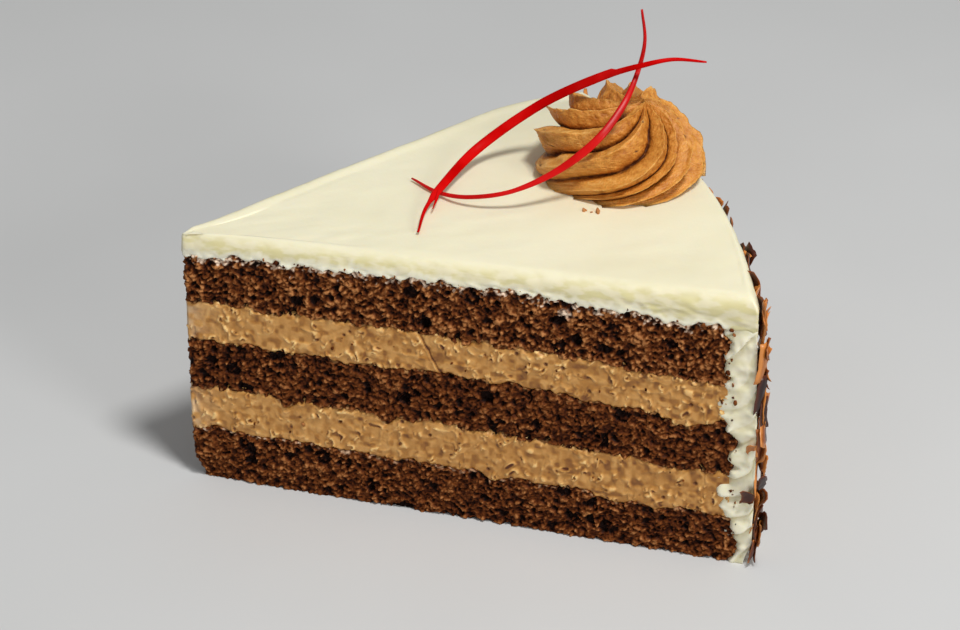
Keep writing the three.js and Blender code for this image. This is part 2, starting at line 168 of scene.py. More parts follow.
def layered_noise(points, scale, seed, octaves):
    return sum(noise(points, scale / 2**octave, seed + octave) / 2**octave for octave in range(octaves))


def grit(points, scale, finer_scale, seed):
    """Noise of two sizes, the finer one weaker."""
    return noise(points, scale, seed) + 0.6 * noise(points, finer_scale, seed + 1)


def warped(points, scale, amount, seed):
    """The points shifted by smooth noise, for shapes that wander."""
    shift = np.stack([noise(points, scale, seed + axis) for axis in range(points.shape[1])], axis=1)
    return points + amount * shift


def cells(points, scale, seed):
    """Distance in cell sizes to the nearest scattered point, its lead over the next one, and its number."""
    grid = points / scale
    base = np.floor(grid)
    nearest = np.full(len(points), 9.0)
    second = np.full(len(points), 9.0)
    number = np.zeros(len(points))
    for offset in itertools.product((-1, 0, 1), repeat=points.shape[1]):
        cell = base + offset
        place = np.stack([hashed(cell, seed + axis) for axis in range(points.shape[1])], axis=1)
        distance = np.linalg.norm(cell + place - grid, axis=1)
        closer = distance < nearest
        second = np.where(closer, nearest, np.minimum(second, distance))
        number = np.where(closer, hashed(cell, seed + 11), number)
        nearest = np.minimum(nearest, distance)
    return nearest, second - nearest, number


# Shape of the slice
def share_at(x, y):
    """Share of the way from the tip to the rim, the same all along a line across the slice."""
    across_x = (1 + 1 / BACK_RATIO) / (2 * math.cos(HALF_ANGLE))
    across_y = (1 / BACK_RATIO - 1) / (2 * math.sin(HALF_ANGLE))
    return (across_x * x + across_y * y) / FRONT_CUT


def top_at(x, y):
    return lerp(TIP_HEIGHT, RIM_HEIGHT, share_at(x, y))


def corner_drop(x, y):
    """How far the icing's top sinks toward the back corner."""
    reach = x * BACK[0] + y * BACK[1]
    inside = -(x * BACK_OUT[0] + y * BACK_OUT[1])
    along = np.clip((reach - CORNER_DROP_START) / (BACK_CUT - CORNER_DROP_START), 0, 1)
    return CORNER_DROP * along**1.6 * smoothstep(*CORNER_DROP_REACH, inside)


def seam_at(seam, x, y):
    """Height of a seam, with the uneven edge that both layers follow."""
    tip, rim, swell, peak = SEAMS[seam]
    share = share_at(x, y)
    smooth = lerp(tip, rim, share) + swell * np.cos(2 * np.pi * (share - peak))
    ripple = RIPPLE_HEIGHT * np.sin(2 * np.pi * RIPPLE_COUNT * share + tip)
    dips = sum(depth * np.exp(-(((share - place) / width) ** 2))
               for place, depth, width in SEAM_DIPS[seam])
    spot = np.stack([x, y, np.full_like(x, tip)], axis=1)
    return smooth + ripple - dips + 0.5 * noise(spot, 2.6, 5) + 0.45 * noise(spot, 1.1, 6)


def arc_between(start, end, sagitta, share):
    """Points of the circle's arc that bulges between two points of the plan, and its outward directions."""
    chord = end - start
    length = np.linalg.norm(chord, axis=-1, keepdims=True)
    along = chord / length
    outward = np.stack([along[..., 1], -along[..., 0]], axis=-1)
    radius = (length**2 / 4 + sagitta**2) / (2 * sagitta)
    angle = np.arcsin(length / 2 / radius) * (2 * share - 1)
    middle = (start + end) / 2
    points = middle + along * radius * np.sin(angle) + outward * (radius * (np.cos(angle) - 1) + sagitta)
    return points, along * np.sin(angle) + outward * np.cos(angle)


def plan_grid(last_reach, steps, across, inset=0.0):
    """Grid seen from above: from the tip to the rim, and from the front cut to the back cut.

    The outline is moved in by the inset, never past the middle at the tip.
    """
    reach = np.linspace(TIP_BLUNT, last_reach - inset, steps + 1)[:, None]
    front = reach * FRONT
    back = reach * BACK_RATIO * BACK
    room = 0.5 * np.abs(front[:, 1:])
    moved = room * np.tanh(inset / room)
    front = front - moved * FRONT_OUT
    back = back - moved * BACK_OUT
    sagitta = np.maximum(RIM_BULGE * (reach / reach[-1]) ** 2, 1e-3)
    share = np.linspace(0, 1, across + 1)[None, :, None]
    return arc_between(front[:, None], back[:, None], sagitta[:, None], share)


def edge_of(grid):
    """The grid's outline, anticlockwise: front cut, rim, back cut and tip."""
    return np.concatenate([grid[:, 0], grid[-1, 1:-1], grid[::-1, -1], grid[0, -2:0:-1]])


def quads(*corners):
    """Two triangles for each quad whose four corners are given anticlockwise."""
    corners = np.column_stack([corner.ravel() for corner in corners])
    return np.concatenate([corners[:, [0, 1, 2]], corners[:, [0, 2, 3]]])


def sheet_triangles(index):
    """Triangles of a grid of point numbers, facing up where its axes are X and Y."""
    return quads(index[:-1, :-1], index[1:, :-1], index[1:, 1:], index[:-1, 1:])


def wall_triangles(rings, sides):
    """Triangles between closed rings of points that stand on each other, anticlockwise seen from above."""
    index = np.arange(rings * sides).reshape(rings, sides)
    return sheet_triangles(np.column_stack([index, index[:, 0]]))[:, ::-1]


def slab(step, across, rows):
    """A closed layer: rows of points round the outline, and a grid below and above.

    Each row is (reach, inset, height of x and y). Gives the points, the triangles and the directions
    in which relief moves each point.
    """
    steps = round(FRONT_CUT / step)
    flat = [plan_grid(reach, steps, across, inset) for reach, inset, _ in rows]
    outward = edge_of(flat[0][1])
    outward[:steps + 1] = FRONT_OUT
    back_start = steps + across
    outward[back_start:back_start + steps + 1] = BACK_OUT
    outward[back_start + steps + 1:] = [-1, 0]
    count = len(outward)

    points = []
    for (_, _, height), (grid, _) in zip(rows, flat):
        edge = edge_of(grid)
        points.append(np.column_stack([edge, height(edge[:, 0], edge[:, 1])]))
    directions = [np.column_stack([outward, np.zeros(count)])] * len(rows)
    triangles = [wall_triangles(len(rows), count)]
    total = len(rows) * count
    for row, up in ((0, -1.0), (len(rows) - 1, 1.0)):
        grid = flat[row][0]
        inner = grid[1:-1, 1:-1].reshape(-1, 2)
        index = np.arange((steps + 1) * (across + 1)).reshape(steps + 1, across + 1)
        index.flat[edge_of(index)] = row * count + np.arange(count)
        index[1:-1, 1:-1] = total + np.arange(len(inner)).reshape(steps - 1, across - 1)
        faces = sheet_triangles(index)
        triangles.append(faces if up > 0 else faces[:, ::-1])
        points.append(np.column_stack([inner, rows[row][2](inner[:, 0], inner[:, 1])]))
        directions.append(np.tile([0.0, 0.0, up], (len(inner), 1)))
        total += len(inner)
    return np.concatenate(points), np.concatenate(triangles), np.concatenate(directions)


def moved_out(points, directions, push):
    """Moves points by the push, with no point of a cut face going past the middle of the slice."""
    room = 0.4 * np.abs(points[:, 1]) + 0.05
    flat = np.abs(directions[:, 2]) > 0.5
    limited = np.where(flat, push, np.maximum(push, -room))
    return points + directions * limited[:, None]


def layer(step, thickness, below, above, past_wall, bottom, top):
    """A closed layer between two seams, which ends at a distance past the coat's inner wall."""
    rims = SEAMS[below][1] if below else 0.0, SEAMS[above][1]
    row_count = round(thickness / step)
    rows = [(coat_reach(lerp(*rims, row / row_count)) + past_wall, 0.0,
             lambda x, y, share=row / row_count: lerp(bottom(x, y), top(x, y), share))
            for row in range(row_count + 1)]
    return slab(step, HIDDEN_ACROSS, rows)


def tube_triangles(rings, sides):
    """Walls, closed by a fan at the first and at the last ring round the two points that follow them."""
    ring = np.arange(sides)
    following = np.roll(ring, -1)
    last = (rings - 1) * sides
    return np.concatenate([
        wall_triangles(rings, sides),
        np.column_stack([following, ring, np.full(sides, rings * sides)]),
        np.column_stack([last + ring, last + following, np.full(sides, rings * sides + 1)]),
    ])


def joined(shapes):
    """One mesh from the points, triangles and tones of many small shapes."""
    points, triangles, tones = zip(*shapes)
    starts = np.cumsum([0, *map(len, points[:-1])])
    moved = [faces + start for faces, start in zip(triangles, starts)]
    return np.concatenate(points), np.concatenate(moved), np.concatenate(tones)


# Blender helpers
def piece(name, slot, material, points, triangles, tone, *nodes):
    """A piece in the part's frame from points in the slice's frame, with three tones for each point."""
    mesh = bpy.data.meshes.new(name)
    mesh.vertices.add(len(points))
    mesh.vertices.foreach_set("co", ((points + APEX) * MM).astype(np.float32).ravel())
    mesh.loops.add(triangles.size)
    mesh.loops.foreach_set("vertex_index", triangles.astype(np.int32).ravel())
    mesh.polygons.add(len(triangles))
    mesh.polygons.foreach_set("loop_start", np.arange(0, triangles.size, 3, dtype=np.int32))
    mesh.update(calc_edges=True)
    mesh.polygons.foreach_set("use_smooth", np.ones(len(triangles), bool))
    attribute = mesh.attributes.new("tone", "FLOAT_COLOR", "POINT")
    colours = np.column_stack([tone, np.ones(len(tone))])
    attribute.data.foreach_set("color", colours.astype(np.float32).ravel())
    mesh.materials.append(material)
    obj = bpy.data.objects.new(name, mesh)
    bpy.context.scene.collection.objects.link(obj)
    if nodes:
        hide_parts(*nodes)
    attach(obj, "root")


def srgb(red, green, blue):
    """A screen colour from 0 to 255 as the linear colour that shaders take."""
    def linear(value):
        value /= 255
        return value / 12.92 if value <= 0.04045 else ((value + 0.055) / 1.055) ** 2.4
    return (linear(red), linear(green), linear(blue), 1.0)


def add_node(tree, kind, inputs=None, **settings):
    """A shader node with its settings; an input is a value or the socket that feeds it."""
    node = tree.nodes.new(kind)
    for key, value in settings.items():
        setattr(node, key, value)
    for key, value in (inputs or {}).items():
        if isinstance(value, bpy.types.NodeSocket):
            tree.links.new(value, node.inputs[key])
        else:
            node.inputs[key].default_value = value
    return node


def add_ramp(tree, factor, *stops):
    """A ramp of screen colours, each given after its place on the ramp."""
    node = add_node(tree, "ShaderNodeValToRGB", {"Fac": factor})
    elements = node.color_ramp.elements
    while len(elements) < len(stops):
        elements.new(0.5)
    for element, (place, *colour) in zip(elements, stops):
        element.position = place
        element.color = srgb(*colour)
    return node.outputs["Color"]


def add_mix(tree, factor, first, second):
    node = add_node(tree, "ShaderNodeMix", data_type="RGBA")
    for socket, value in ((node.inputs[0], factor), (node.inputs[6], first), (node.inputs[7], second)):
        if isinstance(value, bpy.types.NodeSocket):
            tree.links.new(value, socket)
        else:
            socket.default_value = value
    return node.outputs[2]


def add_sum(tree, *terms, total=0.0):
    """The total plus (socket, factor, shift) terms, where each term is factor * (socket - shift)."""
    for socket, factor, shift in terms:
        shifted = add_node(tree, "ShaderNodeMath", {0: socket, 1: shift}, operation="SUBTRACT")
        node = add_node(tree, "ShaderNodeMath", {0: shifted.outputs[0], 1: factor, 2: total},
                        operation="MULTIPLY_ADD")
        total = node.outputs[0]
    return total


def add_noise(tree, size, stretch=(1, 1, 1)):
    """Noise in the object's own place, with bumps of the given size in millimetres."""
    place = add_node(tree, "ShaderNodeTexCoord").outputs["Object"]
    mapped = add_node(tree, "ShaderNodeMapping", {"Vector": place, "Scale": stretch}).outputs[0]
    node = add_node(tree, "ShaderNodeTexNoise", {"Vector": mapped, "Scale": 1 / (size * MM), "Detail": 2.0})
    return node.outputs["Fac"]


def add_map(tree, value, low, high):
    """The value spread smoothly from 0 at low to 1 at high."""
    node = add_node(tree, "ShaderNodeMapRange", {"Value": value, "From Min": low, "From Max": high},
                    interpolation_type="SMOOTHSTEP")
    return node.outputs["Result"]


def add_tones(tree):
    """The three tones that a piece's mesh carries."""
    attribute = add_node(tree, "ShaderNodeAttribute", attribute_name="tone")
    split = add_node(tree, "ShaderNodeSeparateColor", {"Color": attribute.outputs["Color"]})
    return split.outputs[0], split.outputs[1], split.outputs[2]


def new_material(name, noises, ramp, roughness, bump, tones=(1.0,), marks=(), base=0.0, **fixed):
    """A material coloured by a ramp, at a level that sums the mesh's tones and some noises.

    Each noise is (size in millimetres, weight) or (size, weight, stretch). The first one also gives the
    bump, whose depth is in millimetres, and the roughness, as (factor, shift). The tones have their
    weights. Marks are colours, or functions that build them, and the second and third tone lay them
    over the ramp. Fixed values go on the shader.
    """
    material = bpy.data.materials.new(name)
    material.use_nodes = True
    tree = material.node_tree
    shader = tree.nodes["Principled BSDF"]
    for key, value in fixed.items():
        shader.inputs[key.replace("_", " ")].default_value = value
    mesh_tones = add_tones(tree)
    fields = [add_noise(tree, size, *stretch) for size, _, *stretch in noises]
    terms = [(tone, weight, 0.0) for tone, weight in zip(mesh_tones, tones)]
    terms += [(field, weight, 0.5) for field, (_, weight, *_) in zip(fields, noises)]
    colour = add_ramp(tree, add_sum(tree, *terms, total=base), *ramp)
    for tone, mark in zip(mesh_tones[1:], marks):
        colour = add_mix(tree, tone, colour, mark(tree) if callable(mark) else srgb(*mark))
    tree.links.new(colour, shader.inputs["Base Color"])
    tree.links.new(add_sum(tree, (fields[0], *roughness)), shader.inputs["Roughness"])
    relief = add_node(tree, "ShaderNodeBump", {"Height": fields[0], "Distance": bump * MM, "Strength": 1.0})
    tree.links.new(relief.outputs[0], shader.inputs["Normal"])
    return material


# Materials. How far light spreads inside, in red, green and blue
MOCHA_GLOW = (1.0, 0.6, 0.3)
IVORY_GLOW = (1.0, 0.85, 0.6)


def soft(weight, glow, depth):
    """Shader values of a food that light enters to a depth in millimetres."""
    return {"Subsurface_Weight": weight, "Subsurface_Radius": glow, "Subsurface_Scale": depth * MM}


def band_shade_patches(tree):
    """Painted shade on the icing's band along the cuts: darker than the top, in pale and yellower patches."""
    patch = add_map(tree, add_noise(tree, 1.5, (0.35, 0.35, 1)), 0.42, 0.6)
    return add_mix(tree, patch, srgb(234, 225, 190), srgb(222, 212, 160))


# Tones: lightness with painted shade in hollows, pores and large holes, cream in the pores, icing on the
# crumb
sponge_material = new_material(
    "chocolate_crumb", noises=[(0.4, 0.35), (1.1, 0.5)], roughness=(0.5, -0.7), bump=0.12,
    ramp=[(0.1, 20, 3, 0), (0.38, 72, 30, 6), (0.66, 114, 60, 22), (0.98, 188, 126, 74)],
    marks=[(180, 134, 84), (248, 222, 196)], Specular_IOR_Level=0.1)
# Tones: lightness with painted highlights and shade, pits painted dark as shade, pale edge at the tip painted
# as rim light
cream_material = new_material(
    "mocha_cream", noises=[(0.6, 0.15), (7.0, 0.22)], roughness=(0.3, -1.1), bump=0.06,
    ramp=[(0.0, 100, 44, 0), (0.42, 182, 124, 52), (0.7, 216, 160, 88), (0.98, 252, 208, 136)],
    marks=[(112, 58, 14), (240, 218, 184)], **soft(0.15, MOCHA_GLOW, 1.2))
# Tones: lightness with painted shade in the creases, painted shade on the band along the cuts, white lower
# edge of the band, and on the coat's ends painted highlights on the lobes
icing_material = new_material(
    "ivory_icing", noises=[(1.2, 0.0), (18.0, 0.3, (0.5, 1, 1))], roughness=(0.25, -1.2), bump=0.03,
    ramp=[(0.05, 196, 184, 136), (0.5, 243, 236, 204), (0.9, 250, 245, 220)],
    marks=[band_shade_patches, (247, 240, 214)], **soft(0.3, IVORY_GLOW, 2.0))
# Tones: lightness with painted highlights and shade, pores painted dark as shade
rosette_material = new_material(
    "caramel_rosette", noises=[(0.5, 0.3), (3.5, 0.12)], roughness=(0.3, -1.3), bump=0.24,
    ramp=[(0.05, 94, 40, 0), (0.4, 184, 112, 30), (0.7, 220, 152, 64), (0.98, 246, 196, 116)],
    marks=[(84, 38, 12)], **soft(0.15, MOCHA_GLOW, 1.0))
# Tones: kind of chocolate, edge
flake_material = new_material(
    "chocolate_flake", noises=[(1.6, 0.35, (1, 1, 0.25))], roughness=(0.4, -0.3), bump=0.1,
    ramp=[(0.05, 34, 9, 4), (0.38, 82, 34, 12), (0.68, 148, 78, 24), (0.95, 212, 134, 62)],
    tones=(1.0, 0.35))
RED_LOOK = {
    "noises": [(2.5, 0.3)], "roughness": (0.2, -1.5), "bump": 0.05,
    "ramp": [(0.2, 166, 0, 0), (0.5, 198, 4, 3), (0.85, 222, 22, 22)],
}
matte_strip_material = new_material("matte_red", **RED_LOOK, Specular_IOR_Level=0.03)
glossy_strip_material = new_material("glossy_red", **RED_LOOK, Specular_IOR_Level=0.15,
                                     Coat_Weight=0.1, Coat_Roughness=0.25)


# A few marks that show in the front cut: reach, height and radius of the large holes, and single places
CUT_HOLES = [
    (83.3, 46.5, 1.4), (81.0, 54.4, 1.1), (79.3, 50.3, 1.2), (64.9, 30.1, 1.5), (47.5, 26.9, 1.1),
    (51.8, 44.8, 0.9), (58.9, 43.0, 0.9),
]
ICING_SMEAR_AT = (81.2, 52.2)
CREAM_CRACK = np.array([[50.9, 42.4], [55.6, 33.8]])


def cut_places(points):
    """Reach and height of the points, and which of them lie on the front cut."""
    on_front = np.abs(points[:, :2] @ FRONT_OUT) < 0.5
    return np.column_stack([points[:, :2] @ FRONT, points[:, 2]]), on_front


def hole_marks(points):
    """The large holes in the front cut, each with an uneven rim."""
    places, on_front = cut_places(points)
    wander = 0.5 * noise(points, 1.2, 81)
    marks = np.zeros(len(points))
    for *centre, radius in CUT_HOLES:
        distance = np.linalg.norm(places - centre, axis=1) / radius + wander
        marks = np.maximum(marks, smoothstep(1.15, 0.7, distance))
    return marks * on_front


def crack_marks(points):
    """The crack through the upper cream, and the raised line on its left."""
    places, on_front = cut_places(points)
    start, end = CREAM_CRACK
    length = np.linalg.norm(end - start)
    along, out = (end - start) / length, np.array([start[1] - end[1], end[0] - start[0]]) / length
    share = (places - start) @ along / length
    off = (places - start) @ out + 0.45 * noise(points, 2.0, 82)
    shown = on_front * smoothstep(-0.05, 0.05, share) * smoothstep(1.05, 0.95, share)
    return shown * smoothstep(0.35, 0.1, np.abs(off)), shown * smoothstep(0.4, 0.0, np.abs(off + 0.5))


# Sponges: a crumb of small hollows and lumps with thin walls between them, and larger pores, all darkened
# with painted shade
def hollows_and_lumps(points, scale, seed, lump_share):
    """From -1 in hollows through 0 on the walls between cells to 1 on lumps, and each cell's number."""
    _, lead, number = cells(points, scale, seed)
    inside = smoothstep(0.0, 0.42, lead)
    return np.where(number < lump_share, inside, -inside) * lerp(0.6, 1.0, (7 * number) % 1), number


def crumb_relief(points, seed, flatten):
    """Height of the crumb over the cut, and how light it is, with painted shade that darkens its deeper parts
    and pores.
    """
    place = warped(warped(points * [1, 1, flatten], 2.4, 0.4, seed), 1.1, 0.25, seed + 5)
    large, number = hollows_and_lumps(place, 1.3, seed + 20, 0.5)
    small, _ = hollows_and_lumps(place, 0.8, seed + 40, 0.45)
    hole, _, size = cells(warped(points, 1.5, 0.4, seed + 7), 2.6, seed + 50)
    pore = smoothstep(lerp(0.1, 0.5, size), 0.12, hole)
    slow = noise(points, 3.2, seed + 61)
    grain = noise(points, 0.5, seed + 60)
    height = -0.2 + 0.4 * large + 0.3 * small + 0.15 * slow + 0.17 * grain - 0.6 * pore
    # Painted shade: the crumb is darker the deeper it lies, and darker still in the pores; each cell also
    # varies at random.
    light = smoothstep(-1.1, 0.5, height) * lerp(0.85, 1.1, (3 * number) % 1) + 0.12 * grain - 0.15 * pore
    return height, np.clip(light, 0, 1)


def sponge(name, below, above, seed, flatten, tip_push, brightness):
    """A sponge between two seams, sunk where the icing or the coat laps over it."""
    def bottom(x, y):
        if below is None:
            place = np.stack([x, y], axis=1)
            return 0.35 * smoothstep(-0.2, 0.8, noise(place, 1.4, seed + 70))
        return seam_at(below, x, y)

    def top(x, y):
        return seam_at(above, x, y) + lap

    lap = ICING_LAP if name == "sponge_top" else 0.0
    points, triangles, directions = layer(SPONGE_STEP, SPONGE_HEIGHT, below, above, COAT_LAP, bottom, top)
    height, light = crumb_relief(points, seed, flatten)
    holes = hole_marks(points)
    # The large holes are sunk and painted dark as shade.
    height -= 0.9 * holes
    light *= 1 - holes
    share = seam_share(points, below, above)
    spots = noise(points, 0.6, seed + 80)
    cap = np.abs(directions[:, 2]) > 0.5
    height[cap] = 0
    tip = np.exp(-points[:, 0] / 3)
    under_icing = smoothstep(0.0, -ICING_LAP, share[1]) if lap else 0.0
    under_coat = smoothstep(-0.2, 1.2, ragged_past_coat(points))
    sunk = 1.3 * np.maximum(under_icing, under_coat) * ~cap
    moved = moved_out(points, directions, height + tip_push * tip - sunk)
    if below is None:
        worn = smoothstep(6, 0, points[:, 2]) * np.exp(-points[:, 0] / 5)
        moved[:, 0] += 2.6 * worn
    moved[:, 2] = np.maximum(moved[:, 2], 0)
    cream = 0.7 * smoothstep(0.25, 0.6, spots) * smoothstep(0.75, 0.2, np.minimum(*share))
    icing = icing_smear(points, name, share[1], spots) * smoothstep(-0.6, 0.0, height)
    tone = np.column_stack([brightness * light, cream, icing])
    piece(name + "_crumb", "sponge", sponge_material, moved, triangles, tone, name)


def past_coat(points):
    """Distance in millimetres past the coat's inner wall, along either cut face."""
    x, y, z = points.T
    reach = np.where(y < 0, points[:, :2] @ FRONT, points[:, :2] @ BACK / BACK_RATIO)
    return reach - coat_reach(z)


def ragged_past_coat(points):
    """The same distance from the uneven line where the layers meet the coat's cut end."""
    line = np.column_stack([points[:, 2], 30.0 * (points[:, 1] > 0)])
    return past_coat(points) - 0.9 * noise(line, 2.8, 350) - 0.5 * noise(line, 1.2, 351)


def seam_share(points, below, above):
    """Distance in millimetres from the seam below and from the seam above."""
    x, y, z = points.T
    low = z if below is None else z - seam_at(below, x, y)
    return low + (9 if below is None else 0), seam_at(above, x, y) - z


def icing_smear(points, name, to_top, spots):
    """White bits of icing dragged over the crumb where a layer meets icing."""
    if name == "sponge_top":
        places, on_front = cut_places(points)
        reach = np.linalg.norm((places - ICING_SMEAR_AT) * [0.6, 1.0], axis=1)
        smear = on_front * smoothstep(1.1, 0.6, reach + 0.4 * spots)
        fringe = smoothstep(0.05, 0.3, spots + lerp(0.4, -0.5, to_top / 1.8)) * (to_top < 2.4)
        return 0.9 * np.maximum(fringe, smear)
    near_tip = np.exp(-points[:, 0] / 45)
    if name == "sponge_bottom":
        return 0.75 * near_tip * smoothstep(0.1, 0.5, spots) * smoothstep(0.9, 0.2, to_top)
    return np.zeros(len(points))


# Creams: smooth, with dragged ridges, curls and pits
def curls(points, size, seed):
    """Raised arcs, and the band on their inner side, which is sunk a little and painted with shade."""
    grid = points / size
    base = np.floor(grid)
    raised = np.zeros(len(points))
    shadow = np.zeros(len(points))
    for offset in itertools.product((-1, 0, 1), repeat=3):
        cell = base + offset
        away = cell + np.stack([hashed(cell, seed + axis) for axis in range(3)], axis=1) - grid
        along = np.hypot(away[:, 0], away[:, 1]) * np.sign(away[:, 0])
        distance = np.hypot(along, away[:, 2])
        depth = np.abs(away[:, 1] * FRONT[0] + away[:, 0] * np.sign(points[:, 1]) * FRONT[1])
        radius = lerp(0.15, 0.45, hashed(cell, seed + 4))
        turn = np.arctan2(away[:, 2], along) - 2 * np.pi * hashed(cell, seed + 5)
        span = lerp(-0.6, 0.6, hashed(cell, seed + 6))
        shown = smoothstep(0.05, 0.25, span + np.cos(turn)) * (hashed(cell, seed + 7) > 0.1)
        off_line = (distance - radius) * size
        shown *= smoothstep(0.55, 0.4, depth)
        raised = np.maximum(raised, shown * smoothstep(0.38, 0.05, np.abs(off_line)))
        shadow = np.maximum(shadow, shown * smoothstep(0.4, 0.0, np.abs(off_line + 0.45)))
    return raised, shadow * (1 - raised)


def cream_relief(points, seed):
    """Height of the cream over the cut, its light and dark parts with painted highlights and shade, and its
    pits.
    """
    along = points[:, 0] / INNER_REACH
    busy = smoothstep(-0.7, 0.5, noise(points, 5.0, seed + 5) + 0.7 * along)
    place = warped(warped(points, 3.2, 1.0, seed), 1.0, 0.35, seed + 3)
    raised, shadow = (busy * mark for mark in curls(place, 2.0, seed + 20))
    drag = smoothstep(0.2, 0.0, np.abs(noise(place, 2.4, seed + 6)))
    drag *= smoothstep(-0.1, 0.3, noise(points, 2.4, seed + 7)) * lerp(0.4, 1.0, busy)
    hole, _, number = cells(points, 1.9, seed + 30)
    # Pits are sunk, and the material paints them dark as shade.
    pit = smoothstep(0.3, 0.12, hole) * (number > 0.95 - 0.25 * along)
    slow = noise(points, 4.0, seed + 9)
    rough = noise(place, 1.1, seed + 11)
    height = 0.1 * slow + 0.26 * drag + 0.34 * raised - 0.15 * shadow - 0.45 * pit
    height += (0.05 + 0.05 * busy) * rough
    stain = smoothstep(0.2, 0.75, noise(points, 1.2, seed + 13) + 0.25 * along)
    # Painted light: raised arcs and drag ridges are lightened as highlights, and the band beside each arc is
    # darkened as shade; stains and the way toward the rim darken the cream's own colour.
    level = 0.58 + 0.16 * drag + 0.36 * raised - 0.7 * shadow + 0.18 * rough - 0.28 * stain - 0.06 * along
    return height, np.clip(level, 0, 1), pit


def cream(name, below, above, seed):
    """A cream that runs a little into the sponges' pores below and above it."""
    def bottom(x, y):
        return seam_at(below, x, y) - CREAM_LAP

    def top(x, y):
        return seam_at(above, x, y) + CREAM_LAP

    points, triangles, directions = layer(CREAM_STEP, CREAM_HEIGHT + 2 * CREAM_LAP, below, above, -GAP,
                                          bottom, top)
    height, level, pit = cream_relief(points, seed)
    if name == "filling_upper":
        crack, ridge = crack_marks(points)
        # Painted light: the crack is darkened as shade, and the raised line beside it is lightened as a
        # highlight.
        height += 0.1 * ridge - 0.25 * crack
        level = np.clip(level + 0.18 * ridge - 0.4 * crack, 0, 1)
    cap = np.abs(directions[:, 2]) > 0.5
    height[cap] = 0
    x, y, z = points.T
    to_seam = np.minimum(z - seam_at(below, x, y), seam_at(above, x, y) - z)
    sunk = 0.9 * smoothstep(0.5, -CREAM_LAP, to_seam) * ~cap
    tip = np.exp(-points[:, 0] / 1.8)
    moved = moved_out(points, directions, height - 0.1 - sunk)
    moved[:, 0] -= 0.4 * tip
    # Painted rim light: the creams are paled at the tip, where light from behind catches them.
    tip_rim_highlight = 0.9 * tip * smoothstep(-0.5, 0.3, noise(points, 1.5, seed + 50))
    tone = np.column_stack([level, pit, tip_rim_highlight])
    piece(name + "_cream", "cream", cream_material, moved, triangles, tone, name)


# Icing
ICING_STEP = 0.5
ICING_ACROSS = 52
BAND_ROWS = 18
EDGE_ROWS = 10
COAT_STEP = 0.42
COAT_ARC_STEPS = 100
COAT_END_STEPS = 18
TIP_SMOOTH = (2.0, 5.0)
FOLD_SPACING = 5.2
# How far the coat runs on in behind the layers and up into the icing, swells, and is rounded at its foot
COAT_BEHIND = 1.2
COAT_RISE = 1.6
COAT_BULGE = 0.9
FOOT_ROUNDING = 1.6
CREAM_ZONES = [("lower_sponge_top", "lower_cream_top"), ("middle_sponge_top", "upper_cream_top")]


def icing_relief(points, seed):
    """Soft waves, and long creases that run along the slice."""
    waves = 0.16 * noise(points, 15.0, seed) + 0.06 * noise(points, 5.0, seed + 1)
    streaks = noise(points * [0.12, 0.45, 0.8], 1.0, seed + 2)
    return waves + 0.07 * streaks


def square_back_edge(points, below_top):
    """Shift of the points that makes the back edge's rounding small, with a low uneven lip along it."""
    inside = -(points[:, :2] @ BACK_OUT)
    height = np.clip(1 - below_top / ICING_EDGE_RADIUS, 0, 1)
    corner = 4 * height**2 * (1 - height**2) * (inside < ICING_EDGE_RADIUS)
    lip = (0.35 + 0.3 * noise(points, 7.0, 311)) * np.exp(-inside / 1.2) * height
    diagonal = 0.3 * ICING_EDGE_RADIUS * corner[:, None] * np.array([*BACK_OUT, 1.0])
    return (diagonal + lip[:, None] * [0, 0, 1]) * smoothstep(0.0, 4.0, points[:, 0])[:, None]


def icing_rows():
    """Rows of the icing's outline, from the crumb up its band along the cuts and over its rounded edge."""
    def band(share):
        def height(x, y):
            low = seam_at("upper_sponge_top", x, y) - ICING_LAP * smoothstep(*TIP_SMOOTH, x)
            return lerp(low, top_at(x, y) - ICING_EDGE_RADIUS, share)
        return height

    def rounded(angle):
        drop = ICING_EDGE_RADIUS * (1 - math.sin(angle))
        return lambda x, y: top_at(x, y) - drop

    rows = [(FRONT_CUT, 0.0, band(row / BAND_ROWS)) for row in range(BAND_ROWS)]
    for row in range(EDGE_ROWS + 1):
        angle = math.pi / 2 * row / EDGE_ROWS
        rows.append((FRONT_CUT, ICING_EDGE_RADIUS * (1 - math.cos(angle)), rounded(angle)))
    return rows


